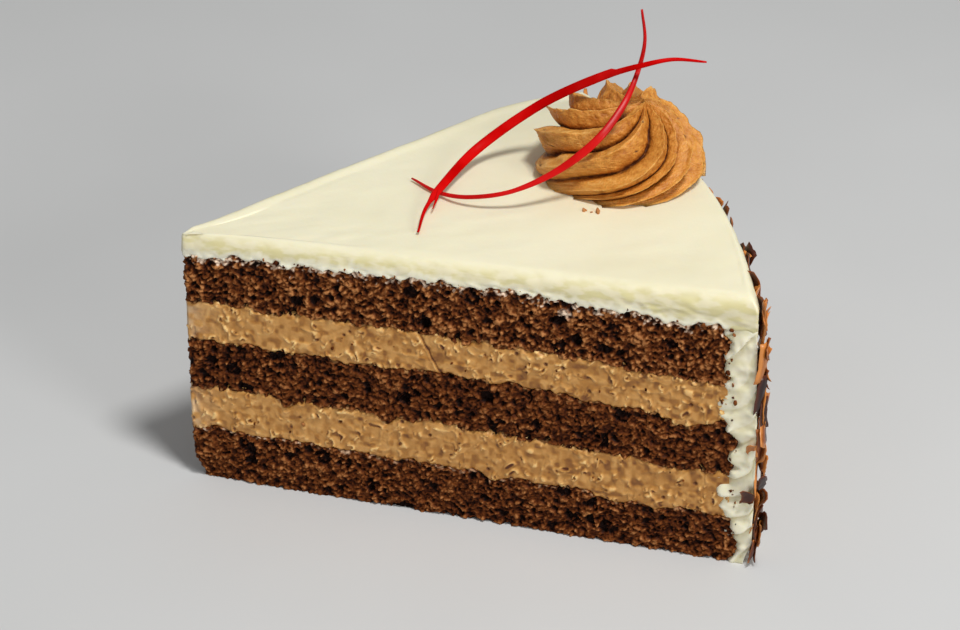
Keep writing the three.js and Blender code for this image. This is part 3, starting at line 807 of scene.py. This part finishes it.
def icing_top():
    """The icing over the top, with its band along the cuts and its frayed lower edge."""
    points, triangles, directions = slab(ICING_STEP, ICING_ACROSS, icing_rows())
    x, y, z = points.T
    below_top = top_at(x, y) - z
    above_crumb = z - seam_at("upper_sponge_top", x, y)
    over_coat = smoothstep(-0.5, 1.0, past_coat(points))
    side = smoothstep(-0.2, 1.7, below_top)
    upright = np.abs(directions[:, 2]) < 0.5
    crease = noise(warped(points, 3.0, 1.2, 300) * [0.3, 0.3, 1.0], 0.8, 301)
    bits = grit(points, 1.3, 0.7, 303)
    fringe = side * smoothstep(1.5, 0.4, above_crumb) * (1 - over_coat)
    depth = lerp(np.minimum(2.8, 0.28 * x), 0.7, over_coat)
    sunk = depth * smoothstep(0.25, -0.5, above_crumb + 0.45 * bits) * upright
    push = icing_relief(points, 310) + side * (0.18 * crease + 0.15) + fringe * (0.2 * bits + 0.1) - sunk
    moved = moved_out(points, directions, push)
    moved[:, 0] -= 0.6 * np.exp(-x / 2.5)
    moved[:, 2] -= 0.25 * np.exp(-x / 1.3) * smoothstep(ICING_EDGE_RADIUS, 0.0, below_top)
    moved += square_back_edge(points, below_top)
    moved[:, 2] -= corner_drop(x, y) * smoothstep(0.0, 5.0, above_crumb)
    moved[directions[:, 2] < -0.5, 2] += ICING_LAP + 0.6
    # Painted shade: the band is darker in its creases and lighter where they stand out.
    level = 0.5 + 0.28 * side * crease
    low = smoothstep(2.1, 0.9, above_crumb + 0.5 * bits) * (1 - over_coat)
    # The band along the cuts is painted darker as shade.
    band_shade = side * (1 - low)
    tone = np.column_stack([level, band_shade, 0.75 * side * low])
    piece("icing_over_top", "icing", icing_material, moved, triangles, tone, "icing")


def coat_folds(points, past):
    """Height of the lobes of icing that droop over the coat's cut ends, each ending in a crease below."""
    bent = warped(warped(points, 7.0, 2.4, 320), 2.2, 0.5, 330)
    slanted = (bent[:, 2] - 0.7 * past - 0.1 * past**2) / FOLD_SPACING + 10
    fold = np.floor(slanted)
    climb = slanted - fold
    number = hashed(fold[:, None].astype(int), 326)
    lobe = (1 - climb) ** 1.3 * smoothstep(0.0, 0.12, climb)
    small = noise(points, 1.7, 322) + 0.5 * noise(points, 0.8, 323)
    strength = number * smoothstep(-0.5, 0.4, noise(points, 2.6, 327) + number - 0.4)
    crease = (smoothstep(0.12, 0.0, climb) + smoothstep(0.88, 1.0, climb)) * strength
    return lerp(0.1, 1.5, strength) * lobe + 0.25 * small, lobe, crease


def coat_shift(height):
    """How far the coat stands out at a height: it swells a little lower down and is rounded at its foot."""
    return COAT_BULGE * smoothstep(56.0, 26.0, height) - FOOT_ROUNDING * smoothstep(6.0, 0.0, height)


def coat_mesh():
    """Points of the smooth coat in rows from its foot up, its triangles, and the way each point faces."""
    height_steps = round(RIM_HEIGHT / COAT_STEP)
    arc_share = np.linspace(0, 1, COAT_ARC_STEPS + 1)[:, None]
    end_share = np.linspace(0, 1, COAT_END_STEPS + 1)[1:-1, None]
    front_outer, back_outer = FRONT_CUT * FRONT, BACK_CUT * BACK
    outer, outer_normal = arc_between(front_outer, back_outer, RIM_BULGE, arc_share)
    outward = np.concatenate([
        np.tile(FRONT_OUT, (COAT_END_STEPS + 1, 1)), outer_normal[1:-1],
        np.tile(BACK_OUT, (COAT_END_STEPS + 1, 1)), np.zeros((COAT_ARC_STEPS - 1, 2)),
    ])
    points = []
    for share in np.linspace(0, 1, height_steps + 1):
        reach = coat_reach(share * SEAMS["upper_sponge_top"][1]) - COAT_BEHIND
        front_inner, back_inner = reach * FRONT, reach * BACK_RATIO * BACK
        inner, _ = arc_between(front_inner, back_inner, RIM_BULGE, arc_share)
        edge = np.concatenate([
            front_inner[None], lerp(front_inner, front_outer, end_share), outer,
            lerp(back_outer, back_inner, end_share), inner[:0:-1],
        ])
        top = seam_at("upper_sponge_top", edge[:, 0], edge[:, 1]) + COAT_RISE
        points.append(np.column_stack([edge, top * share]))
    count = len(outward)
    points = np.concatenate(points)
    directions = np.tile(np.column_stack([outward, np.zeros(count)]), (height_steps + 1, 1))
    caps = closing_strip(COAT_END_STEPS, COAT_ARC_STEPS, count)
    walls = wall_triangles(height_steps + 1, count)
    return points, np.concatenate([walls, caps[:, ::-1], caps + height_steps * count]), directions


def icing_side():
    """The coat down the curved outer side; its two ends are the uneven strips beside the cut layers."""
    points, triangles, directions = coat_mesh()
    x, y, z = points.T
    on_end = np.abs(directions[:, 1]) > 0.85
    past = past_coat(points)
    folds, lobe, crease = coat_folds(points, past)
    below_icing = seam_at("upper_sponge_top", x, y) - z
    cream_zone = sum(smoothstep(-1.5, 1.5, z - seam_at(low, x, y))
                     * smoothstep(-1.5, 1.5, seam_at(high, x, y) - z)
                     for low, high in CREAM_ZONES)
    bits = grit(points, 1.2, 0.6, 324)
    sunk = (1.5 - 0.6 * cream_zone) * smoothstep(1.2, -0.2, ragged_past_coat(points) + 0.7 * cream_zone)
    sunk += 0.7 * smoothstep(0.0, -1.2, below_icing)
    folds = 0.1 + folds * smoothstep(-0.5, 3.0, below_icing)
    push = icing_relief(points, 310) + np.where(on_end, folds - sunk, 0.0)
    moved = moved_out(points, directions, push)
    lap = on_end * smoothstep(1.8, 0.0, past) * (0.3 + 1.3 * cream_zone + 0.2 * bits)
    shift = coat_shift(z) * smoothstep(0.0, COAT_FOOT, past) - lap
    moved[:, 0] += shift * math.cos(HALF_ANGLE)
    moved[:, 1] += shift * math.sin(HALF_ANGLE) * np.sign(y) * on_end
    # Painted light: on the coat's ends the lobes are lightened and whitened as highlights, the creases are
    # darkened as shade, and the band's painted shade is laid on at 0.4.
    level = np.where(on_end, 0.5 + 0.25 * lobe - 0.5 * crease, 0.5)
    lobe_highlight = 0.8 * smoothstep(0.15, 0.7, lobe + 0.3 * bits) * (1 - crease) * on_end
    tone = np.column_stack([level, 0.4 * on_end, lobe_highlight])
    piece("icing_down_side", "icing", icing_material, moved, triangles, tone, "icing")


def closing_strip(end_steps, arc_steps, count):
    """Triangles across the coat's thickness, seen from above: ends as fans, the arc as a strip."""
    outer = end_steps + np.arange(arc_steps + 1)
    inner_start = 2 * end_steps + arc_steps
    inner = (inner_start + np.arange(arc_steps, -1, -1)) % count
    strip = quads(outer[:-1], outer[1:], inner[1:], inner[:-1])
    front_fan = [(0, step, step + 1) for step in range(1, end_steps)]
    last = end_steps + arc_steps
    back_fan = [(inner_start, last + step, last + step + 1) for step in range(end_steps - 1)]
    return np.concatenate([strip, front_fan, back_fan])


# Chocolate flakes on the outer side: spread over it, and standing out more along its two upright edges
FLAKE_COLUMNS = 24
FLAKE_ROWS = 10
CORNER_FLAKES = 26
FLAKES_ON_ENDS = (17.0, 28.0)
FLAKE_SIZE = (0.7, 1.15)
END_FLAKE_SIZE = 0.65
FLAKE_LENGTH = (4.5, 11.0)
FLAKE_WIDTH = (1.8, 4.6)
FLAKE_THICKNESS = 0.55
FLAKE_CURL = (-0.5, 1.0)
FLAKE_ROLL = (-1.3, 1.3)
FLAKE_GRID = (9, 5)


def flake(random):
    """A thin curled shard in the YZ plane with ragged edges, and its edge tone."""
    length = random.uniform(*FLAKE_LENGTH)
    width = random.uniform(*FLAKE_WIDTH)
    along, across = np.meshgrid(*(np.linspace(-0.5, 0.5, count) for count in FLAKE_GRID), indexing="ij")
    taper = 1 - random.uniform(0.05, 0.38) * np.abs(2 * along) ** random.uniform(2.0, 5.0)
    ragged = 1 + 0.1 * random.uniform(-1, 1, FLAKE_GRID[0])[:, None] * (np.abs(across) > 0.4)
    y = across * width * taper * ragged + random.uniform(-1.5, 1.5) * along**2 * 4
    z = along * length + 0.22 * random.uniform(-1, 1, FLAKE_GRID[1])[None] * np.abs(2 * along) ** 4
    curl = random.uniform(*FLAKE_CURL)
    roll = random.uniform(*FLAKE_ROLL)
    x = curl * (4 * along**2 - 0.4) + roll * (across * 2) ** 2 * width / 6
    x += 0.07 * random.normal(0, 1, FLAKE_GRID)
    thin = FLAKE_THICKNESS * random.uniform(0.6, 1.1) / 2
    edge = np.maximum(np.abs(2 * along), np.abs(2 * across))
    body = thin * (1 - 0.75 * smoothstep(0.7, 1.0, edge))
    front = np.stack([x + body, y, z], axis=-1).reshape(-1, 3)
    back = np.stack([x - body, y, z], axis=-1).reshape(-1, 3)
    return np.concatenate([front, back]), np.tile(smoothstep(0.8, 1.0, edge).ravel(), 2)


def flake_triangles():
    """Both faces of a flake and the rim between them."""
    count = FLAKE_GRID[0] * FLAKE_GRID[1]
    index = np.arange(count).reshape(FLAKE_GRID)
    face = sheet_triangles(index)
    rim = edge_of(index)
    following = np.roll(rim, -1)
    return np.concatenate([face[:, ::-1], face + count,
                           quads(rim, following, following + count, rim + count)])


def turned(points, axis, angle):
    """The points turned about X, Y or Z by an angle in degrees."""
    first, second = [other for other in range(3) if other != axis]
    cosine, sine = math.cos(math.radians(angle)), math.sin(math.radians(angle))
    result = points.copy()
    result[:, first] = cosine * points[:, first] - sine * points[:, second]
    result[:, second] = sine * points[:, first] + cosine * points[:, second]
    return result


def flake_places(random):
    """Each flake's foot seen from above, the way it faces, its level, how far it may spin, and its size."""
    def on_side(along, level, out, spin):
        share = np.array([along])
        foot, normal = arc_between(FRONT_CUT * FRONT, BACK_CUT * BACK, RIM_BULGE, share)
        return foot + (out + coat_shift(level)) * normal, normal, level, spin, random.uniform(*FLAKE_SIZE)

    for column in range(FLAKE_COLUMNS):
        stagger = 0.25 if column % 2 else -0.25
        for row in range(FLAKE_ROWS):
            along = (column + 0.5 + random.uniform(-0.9, 0.9)) / FLAKE_COLUMNS
            level = (row + 0.5 + stagger + random.uniform(-0.9, 0.9)) / FLAKE_ROWS * RIM_HEIGHT
            yield on_side(np.clip(along, 0.012, 0.988), level, random.uniform(0.2, 1.2), 15.0)
    for corner in (0.0, 1.0):
        for step in range(CORNER_FLAKES):
            along = abs(corner - random.uniform(-0.006, 0.022))
            level = (step + random.uniform(0.1, 0.9)) / CORNER_FLAKES * RIM_HEIGHT
            yield on_side(along, level, random.uniform(0.4, 1.9), 20.0)
    for level in FLAKES_ON_ENDS:
        for ratio, direction, outward in ((1.0, FRONT, FRONT_OUT), (BACK_RATIO, BACK, BACK_OUT)):
            reach = FRONT_CUT + coat_shift(level) - random.uniform(0.8, 1.6)
            yield reach * ratio * direction + 0.8 * outward, outward, level, 8.0, END_FLAKE_SIZE


def placed_flakes():
    """Points, triangles and tones of every flake, kept below the icing's edge."""
    random = np.random.default_rng(7)
    triangles = flake_triangles()
    for foot, normal, level, spin, size in flake_places(random):
        points, edge = flake(random)
        points *= size
        points = turned(points, 2, random.normal(0, spin))
        points = turned(points, 1, random.normal(-2, 7))
        points = turned(points, 0, random.uniform(-34, 34) * size**3)
        half = np.abs(points[:, 2]).max() + 0.6
        ceiling = RIM_HEIGHT - half * lerp(0.75, 1.1, smoothstep(-48.0, -30.0, foot.flat[1]))
        ceiling -= corner_drop(*foot.flat)
        level = float(np.clip(level, half, ceiling))
        side = np.array([-normal[1], normal[0]])
        flat = foot + points[:, :1] * normal + points[:, 1:2] * side
        tone = np.column_stack([np.full(len(points), random.beta(1.2, 1.5)), edge, edge])
        yield np.column_stack([flat, points[:, 2] + level]), triangles, tone


# Stray crumbs: lumps at the edges of the icing and on the creams
CRUMBS_AT_ICING = 50
CRUMBS_ON_COAT = 28
CRUMBS_ON_CREAM = 20
CRUMBS_BY_ROSETTE = [(81.8, -11.3, 0.9), (84.3, -12.5, 1.0), (83.0, -12.3, 0.5)]
CRUMB_RINGS = 5
CRUMB_LIGHT = 0.6
ROSETTE_CRUMB_LIGHT = 1.1


def crumb_shape(random, size):
    """A small rough lump and its triangles."""
    polar = np.linspace(0, np.pi, CRUMB_RINGS + 1)[1:-1, None]
    round_angle = np.linspace(0, 2 * np.pi, 2 * CRUMB_RINGS, endpoint=False)[None]
    sphere = np.stack([np.sin(polar) * np.cos(round_angle), np.sin(polar) * np.sin(round_angle),
                       np.cos(polar) + 0 * round_angle], axis=-1).reshape(-1, 3)
    sphere = np.vstack([sphere, [0, 0, 1], [0, 0, -1]])
    bumps = noise(sphere + random.uniform(0, 50, 3), 0.7, 601)
    shape = sphere * (1 + 0.6 * bumps)[:, None] * random.uniform(0.5, 1.3, 3) * size / 2
    return shape, tube_triangles(CRUMB_RINGS - 1, 2 * CRUMB_RINGS)[:, ::-1]


def crumb_places(random):
    """Where each stray crumb lies, its size and how light it is."""
    for side, direction, outward in ((1.0, FRONT, FRONT_OUT), (BACK_RATIO, BACK, BACK_OUT)):
        def on_cut(reach, height, out):
            return [*(reach * side * direction + out * outward), height]

        for _ in range(CRUMBS_AT_ICING):
            reach = random.uniform(14, INNER_REACH)
            x, y = reach * side * direction
            seam = seam_at("upper_sponge_top", np.array([x]), np.array([y]))[0]
            place = on_cut(reach, seam + random.uniform(-0.2, 0.9), random.uniform(-0.1, 0.2))
            yield place, random.uniform(0.4, 0.9), CRUMB_LIGHT
        for _ in range(CRUMBS_ON_COAT):
            height = random.uniform(1, 55)
            past = min(abs(random.normal(0, 0.8)), COAT_FOOT)
            place = on_cut(coat_reach(height) + past, height, random.uniform(0.1, 0.5))
            yield place, random.uniform(0.3, 0.9), CRUMB_LIGHT
        for _ in range(CRUMBS_ON_CREAM):
            low, high = CREAM_ZONES[random.integers(2)]
            height = lerp(SEAMS[low][0], SEAMS[high][0], random.uniform(0.15, 0.85))
            place = on_cut(random.uniform(10, INNER_REACH), height, 0.05)
            yield place, random.uniform(0.3, 0.7), CRUMB_LIGHT
    for x, y, size in CRUMBS_BY_ROSETTE:
        yield [x, y, top_at(x, y) + 0.2 * size], size, ROSETTE_CRUMB_LIGHT


def placed_crumbs():
    """Points, triangles and tones of every stray crumb."""
    random = np.random.default_rng(11)
    for place, size, light in crumb_places(random):
        shape, triangles = crumb_shape(random, size)
        tone = np.zeros((len(shape), 3))
        tone[:, 0] = light + random.uniform(-0.3, 0.3)
        yield shape + place, triangles, tone


# Rosette: thick ridges that turn round an eye in front of its middle
ROSETTE_CENTRE = np.array([92.7, 5.2])
ROSETTE_RADIUS = 18.2
ROSETTE_HEIGHT = 15.2
ROSETTE_TURN = math.radians(147)
ROSETTE_EYE = np.array([4.8, -2.0])
# Where the body is drawn in at its foot, and how much its back left rises
ROSETTE_WAIST = math.radians(222)
ROSETTE_WAIST_DEPTH = 1.6
ROSETTE_BACK_RISE = 2.2
ROSETTE_RINGS = 130
ROSETTE_TOP_CLIMB = 0.985
GROOVE_DEPTH = 4.6
# Each ridge's direction in degrees at the icing and, without the turn, at the eye, and where the crease
# before the next ridge lies between the two
RIDGES = [
    (-26, -20, 0.5), (18, 28, 0.4), (48, 67, 0.3), (73, 137, 0.64), (151, 156, 0.68), (204, 182, 0.75),
    (222, 201, 0.55), (246, 206, 0.45), (275, 225, 0.5), (302, 262, 0.5), (318, 300, 0.5),
]
RIDGE_COLUMNS = 30


def rosette_body(climb, angle):
    """Points of the smooth body round its centre, and its outward directions."""
    rise = climb * np.pi / 2
    toward = np.stack([np.cos(angle), np.sin(angle)], axis=-1)
    back_right = 0.5 + 0.5 * np.cos(angle - math.radians(25))
    back_left = 0.5 + 0.5 * np.cos(angle - math.radians(95))
    radius = ROSETTE_RADIUS * np.cos(rise) ** (0.8 + 0.34 * back_right)
    from_waist = (angle - ROSETTE_WAIST + np.pi) % (2 * np.pi) - np.pi
    radius -= ROSETTE_WAIST_DEPTH * np.exp(-((from_waist / 0.45) ** 2)) * np.cos(rise) ** 2
    level = ROSETTE_HEIGHT * np.sin(rise) ** (0.55 + 0.64 * back_right)
    level += ROSETTE_BACK_RISE * np.sin(np.pi * climb**1.1) ** 2 * back_left**2
    flat = climb[..., None] ** 4.5 * ROSETTE_EYE + toward * radius[..., None]
    outward = np.concatenate([toward * np.cos(rise)[..., None], np.sin(rise)[..., None]], axis=-1)
    return np.concatenate([flat, level[..., None]], axis=-1), outward


def ridge_columns():
    """Each column's ridge, whether it runs down from that ridge's lip, and its share of the way on."""
    ridge, within = np.divmod(np.arange(len(RIDGES) * RIDGE_COLUMNS), RIDGE_COLUMNS)
    below_lip = within < RIDGE_COLUMNS / 2
    local = 2 * within / RIDGE_COLUMNS - ~below_lip
    return ridge, below_lip, lerp(local, 0.5 - 0.5 * np.cos(np.pi * local), 0.6)


def ridge_angles(climb, ridge, below_lip, eased):
    """Direction of each point from the rosette's middle, and the angle that its ridge takes up."""
    starts, ends, creases = np.array([*RIDGES, RIDGES[0]], float).T
    starts[-1] += 360
    ends[-1] += 360
    crest_angles = np.radians(lerp(starts, ends, climb[:, :1]))
    width = (crest_angles[:, 1:] - crest_angles[:, :-1])[:, ridge]
    along = np.stack([climb * 9, ridge * 7.3 + 0 * climb], axis=-1).reshape(-1, 2)
    place = creases[ridge] + 0.07 * noise(along, 1.0, 403).reshape(climb.shape)
    phase = np.where(below_lip, place * eased, lerp(place, 1.0, eased))
    return crest_angles[:, ridge] + phase * width + ROSETTE_TURN * climb**0.47, width


def ridge_relief(climb, width, from_crest, lip, nearest_ridge):
    """How far each point stands out: grooves between the ridges, their ragged lips, and a blunt foot."""
    groove = 0.75 * from_crest + 0.25 * from_crest**4 + 0 * climb
    depth = np.minimum(GROOVE_DEPTH, 0.45 * width * ROSETTE_RADIUS * np.cos(climb * np.pi / 2) ** 0.6)
    depth = depth * lerp(0.6, 1.0, smoothstep(0.0, 0.15, climb)) * smoothstep(1.02, 0.8, climb)
    blunt = 0.9 * smoothstep(0.12, 0.0, climb) * (1 - groove)
    along = np.stack([nearest_ridge * 9.7 + 0 * climb, climb * 24], axis=-1).reshape(-1, 2)
    ragged = layered_noise(along, 2.6, 401, 3).reshape(climb.shape)
    raised = (0.75 * ragged + 0.35) * lip * smoothstep(1.0, 0.6, climb)
    return 0.1 + 0.5 * climb - blunt - depth * groove + raised


def rosette():
    """Rings of points from the foot, at climb 0, to the eye, with a raised ragged lip on every ridge."""
    ridge, below_lip, eased = ridge_columns()
    columns = len(ridge)
    from_crest = np.where(below_lip, eased, 1 - eased)
    climb = np.linspace(0, ROSETTE_TOP_CLIMB, ROSETTE_RINGS)[:, None] + np.zeros((1, columns))
    angle, width = ridge_angles(climb, ridge, below_lip, eased)
    body, outward = rosette_body(climb, angle)
    face = smoothstep(0.0, 0.2, from_crest) * smoothstep(1.0, 0.7, from_crest) * np.where(below_lip, 1.0, 0.4)
    striae = noise(body.reshape(-1, 3) * [1, 1, 0.25], 0.75, 405).reshape(climb.shape) * face
    lip = smoothstep(0.12, 0.0, from_crest)
    nearest_ridge = (ridge + ~below_lip) % len(RIDGES)
    push = ridge_relief(climb, width, from_crest, lip, nearest_ridge) + 0.16 * striae
    points = body + outward * push[..., None]
    points[..., 2] = np.maximum(points[..., 2], 0) + 0.05
    points[0, :, 2] = 0
    points[..., :2] += ROSETTE_CENTRE
    points[..., 2] += top_at(points[..., 0], points[..., 1])
    points = points.reshape(-1, 3)
    hole, _, number = cells(points, 1.9, 410)
    pore = smoothstep(0.24, 0.12, hole) * (number > 0.82)
    fine = grit(points, 0.9, 0.45, 411)
    lump = noise(points, 3.2, 413)
    points = points + (0.25 * lump + 0.12 * fine - 0.4 * pore)[:, None] * outward.reshape(-1, 3)
    # Painted light: the lips are lightened as highlights, the creases darkened as shade, and one side of each
    # ridge is lighter than the other.
    crease = smoothstep(0.7, 1.0, from_crest) * smoothstep(1.0, 0.8, climb)
    light = 0.48 + 0.15 * lip - 0.55 * crease + 0.14 * striae + np.where(below_lip, -0.03, 0.08)
    # Painted light from the left: the rosette's left side is lightened.
    painted_left_light = smoothstep(8.0, -14.0, points[:, 0] - ROSETTE_CENTRE[0])
    light = light.ravel() + 0.14 * fine + 0.16 * painted_left_light

    eye = points[-columns:].mean(axis=0) - [0, 0, 0.5]
    foot = np.array([*ROSETTE_CENTRE, top_at(*ROSETTE_CENTRE)])
    # Pores are sunk and painted dark as shade, and the points at the foot and the sunk eye are painted dark
    # as shade.
    tone = np.column_stack([np.clip(light, 0, 1), pore, np.zeros(len(points))])
    tone = np.vstack([tone, [0.1, 0, 0], [0.1, 0, 0]])
    triangles = tube_triangles(ROSETTE_RINGS, columns)
    points = np.vstack([points, foot, eye])
    piece("rosette_swirl", "rosette", rosette_material, points, triangles, tone, "rosette")


# Red strips: points on the slice, each (x, y, height above the icing), and for each edge pairs of the share
# of the length and the edge's distance from the middle line
WIDE_ROUTE = [
    (47.0, -13.0, 0.9), (50.2, -4.4, 1.5), (56.1, 4.1, 2.6), (64.9, 13.3, 4.6), (77.7, 13.1, 12.8),
    (88.7, 5.7, 21.3), (95.5, 0.2, 25.7), (101.9, -0.8, 26.7), (109.4, 0.0, 24.7),
]
WIDE_UPPER = [(0, 0.25), (0.125, 0.42), (0.16, 0.85), (0.35, 1.05), (0.757, 1.0), (0.772, 0.45), (1, 0.2)]
WIDE_LOWER = [(0, 0.25), (0.125, 0.42), (0.16, 0.85), (0.35, 1.05), (0.7, 1.0), (0.85, 0.75), (1, 0.2)]
PRONG_ROUTE = [(53.8, 0.8, 2.3), (52.8, -2.0, 1.8), (51.5, -5.0, 1.4)]
PRONG_EDGE = [(0, 0.35), (0.5, 0.3), (1, 0.1)]
NARROW_ROUTE = [
    (49.8, 10.1, 0.8), (53.9, 2.8, 0.8), (58.9, -3.4, 2.2), (67.2, -7.2, 4.3), (76.9, -8.0, 8.3),
    (85.1, -7.5, 14.0), (91.4, -3.1, 18.8), (95.8, 2.5, 23.6), (97.0, 2.7, 29.8), (96.4, 3.5, 36.5),
]
NARROW_EDGE = [
    (0, 0.2), (0.1, 0.45), (0.34, 0.5), (0.47, 0.75), (0.55, 0.9), (0.7, 0.75), (0.8, 0.55), (1, 0.25),
]
STRIP_FACING = np.array([0.0, -0.7, 0.7])
STRIP_SIDES = 14
ROUTE_STEPS = 60
# Four stops are blended in three passes into the curve between the middle two: the start and end of each
# blend, as numbers of the stops
ROUTE_BLENDS = (([0, 1, 2], [1, 2, 3]), ([0, 1], [2, 3]), ([1], [2]))


def smooth_route(stops, count):
    """Evenly spaced points on the rounded curve through the stops."""
    stops = np.array(stops)
    knots = np.vstack([2 * stops[0] - stops[1], stops, 2 * stops[-1] - stops[-2]])
    curve = []
    for first in range(len(stops) - 1):
        blend = knots[first:first + 4]
        times = np.cumsum([0, *(np.linalg.norm(step) ** 0.5 for step in np.diff(blend, axis=0))])
        time = np.linspace(times[1], times[2], ROUTE_STEPS, endpoint=False)[:, None]
        for starts, ends in ROUTE_BLENDS:
            blend = [lerp(near, far, (time - start) / (end - start))
                     for near, far, start, end in zip(blend, blend[1:], times[starts], times[ends])]
        curve += blend
    fine = np.vstack([*curve, stops[-1:]])
    gone = np.concatenate([[0], np.cumsum(np.linalg.norm(np.diff(fine, axis=0), axis=1))])
    even = np.linspace(0, gone[-1], count)
    return np.column_stack([np.interp(even, gone, fine[:, axis]) for axis in range(3)])


def red_strip(name, node, route, upper_edge, lower_edge, thickness, steps, material):
    """A thin bent strip along a route, whose two edges widen and narrow on their own."""
    raised = [(x, y, top_at(x, y) + lift) for x, y, lift in route]
    centre = smooth_route(raised, steps + 1)
    along = np.gradient(centre, axis=0)
    along /= np.linalg.norm(along, axis=1, keepdims=True)
    wide = np.cross(STRIP_FACING, along)
    wide /= np.linalg.norm(wide, axis=1, keepdims=True)
    thin = np.cross(along, wide)
    share = np.linspace(0, 1, steps + 1)
    upper = np.interp(share, *zip(*upper_edge))[:, None]
    lower = np.interp(share, *zip(*lower_edge))[:, None]
    round_angle = np.linspace(0, 2 * np.pi, STRIP_SIDES, endpoint=False)[None]
    reach = np.cos(round_angle)
    across = np.where(reach > 0, upper, lower) * reach
    ends = np.minimum(1, np.minimum(share, 1 - share) / 0.03 + 0.35)[:, None]
    out = thickness / 2 * np.sin(round_angle) * ends * (1 - 0.25 * (1 - np.abs(reach)))
    points = centre[:, None] + across[..., None] * wide[:, None] + out[..., None] * thin[:, None]
    bumps = noise(points.reshape(-1, 3), 3.0, 501)
    points = points.reshape(-1, 3) + 0.05 * bumps[:, None] * np.repeat(thin, STRIP_SIDES, axis=0)
    triangles = tube_triangles(steps + 1, STRIP_SIDES)
    points = np.vstack([points, centre[0], centre[-1]])
    bright = 0.5 + 0.2 * noise(points, 6.0, 502)
    tone = np.column_stack([bright] * 3)
    piece(name, "strip", material, points, triangles, tone, node)


# Floor, light and camera, with sizes and places in metres
FLOOR_HALF = 3.0
LIGHT_AIM = (0.0, 0.0, 0.03)


def stage():
    """The pale floor, which isn't part of the slice."""
    floor_mesh = bpy.data.meshes.new("floor")
    corners = [(x * FLOOR_HALF, y * FLOOR_HALF, 0) for x, y in ((-1, -1), (1, -1), (1, 1), (-1, 1))]
    floor_mesh.from_pydata(corners, [], [(0, 1, 2, 3)])
    floor = bpy.data.objects.new("floor", floor_mesh)
    bpy.context.scene.collection.objects.link(floor)

    floor_mesh.materials.append(new_material(
        "pale_floor", noises=[(80.0, 1.0)], roughness=(0.1, -7.0), bump=0.01, tones=(), base=0.5,
        ramp=[(0.0, 203.4, 203.4, 201.9), (1.0, 212.2, 212.2, 210.8)]))


def area_light(name, place, size, power):
    """A round soft light, turned toward the slice."""
    light = bpy.data.lights.new(name, "AREA")
    light.shape = "DISK"
    light.size = size
    light.energy = power
    obj = bpy.data.objects.new(name, light)
    obj.location = place
    obj.rotation_euler = (Vector(LIGHT_AIM) - Vector(place)).to_track_quat("-Z", "Y").to_euler()
    bpy.context.scene.collection.objects.link(obj)


def studio_light():
    """Soft light from above and in front, with a weak even light all round."""
    world = bpy.data.worlds.new("studio")
    world.use_nodes = True
    background = world.node_tree.nodes["Background"]
    background.inputs["Color"].default_value = (0.96, 0.98, 1.0, 1)
    background.inputs["Strength"].default_value = 0.27
    bpy.context.scene.world = world
    area_light("key", place=(0.16, -0.36, 0.95), size=0.2, power=6.6)
    area_light("front_fill", place=(0.5, -0.9, 0.5), size=0.35, power=3.6)


def camera():
    """The photograph's camera."""
    bearing = CAMERA_YAW - HALF_ANGLE - math.pi / 2
    back = np.array([math.cos(bearing) * math.cos(CAMERA_ELEVATION),
                     math.sin(bearing) * math.cos(CAMERA_ELEVATION), math.sin(CAMERA_ELEVATION)])
    aim = APEX + np.array([*(AIM_REACH * FRONT), AIM_HEIGHT])
    data = bpy.data.cameras.new("camera")
    data.lens = LENS
    data.sensor_width = 36.0
    data.sensor_fit = "HORIZONTAL"
    data.clip_end = 20.0
    obj = bpy.data.objects.new("camera", data)
    obj.location = Vector((aim + back * CAMERA_DISTANCE) * MM)
    obj.rotation_euler = Vector(-back).to_track_quat("-Z", "Y").to_euler()
    bpy.context.scene.collection.objects.link(obj)
    bpy.context.scene.camera = obj
    bpy.context.scene.view_settings.view_transform = "Standard"


sponge("sponge_bottom", None, "lower_sponge_top", seed=100, flatten=1.5, tip_push=0.4, brightness=0.88)
cream("filling_lower", "lower_sponge_top", "lower_cream_top", seed=200)
sponge("sponge_middle", "lower_cream_top", "middle_sponge_top", seed=120, flatten=1.3, tip_push=0.5,
       brightness=0.86)
cream("filling_upper", "middle_sponge_top", "upper_cream_top", seed=240)
sponge("sponge_top", "upper_cream_top", "upper_sponge_top", seed=140, flatten=1.3, tip_push=0.7,
       brightness=1.0)
icing_top()
icing_side()
piece("flakes", "flakes", flake_material, *joined(placed_flakes()), "icing")
piece("stray_crumbs", "sponge", sponge_material, *joined(placed_crumbs()))
rosette()
red_strip("red_strip_wide_glaze", "red_strip_wide", WIDE_ROUTE, WIDE_UPPER, WIDE_LOWER,
          thickness=0.9, steps=260, material=matte_strip_material)
red_strip("red_strip_prong_glaze", "red_strip_wide", PRONG_ROUTE, PRONG_EDGE, PRONG_EDGE,
          thickness=0.6, steps=40, material=matte_strip_material)
red_strip("red_strip_narrow_glaze", "red_strip_narrow", NARROW_ROUTE, NARROW_EDGE, NARROW_EDGE,
          thickness=0.8, steps=260, material=glossy_strip_material)
stage()
studio_light()
camera()
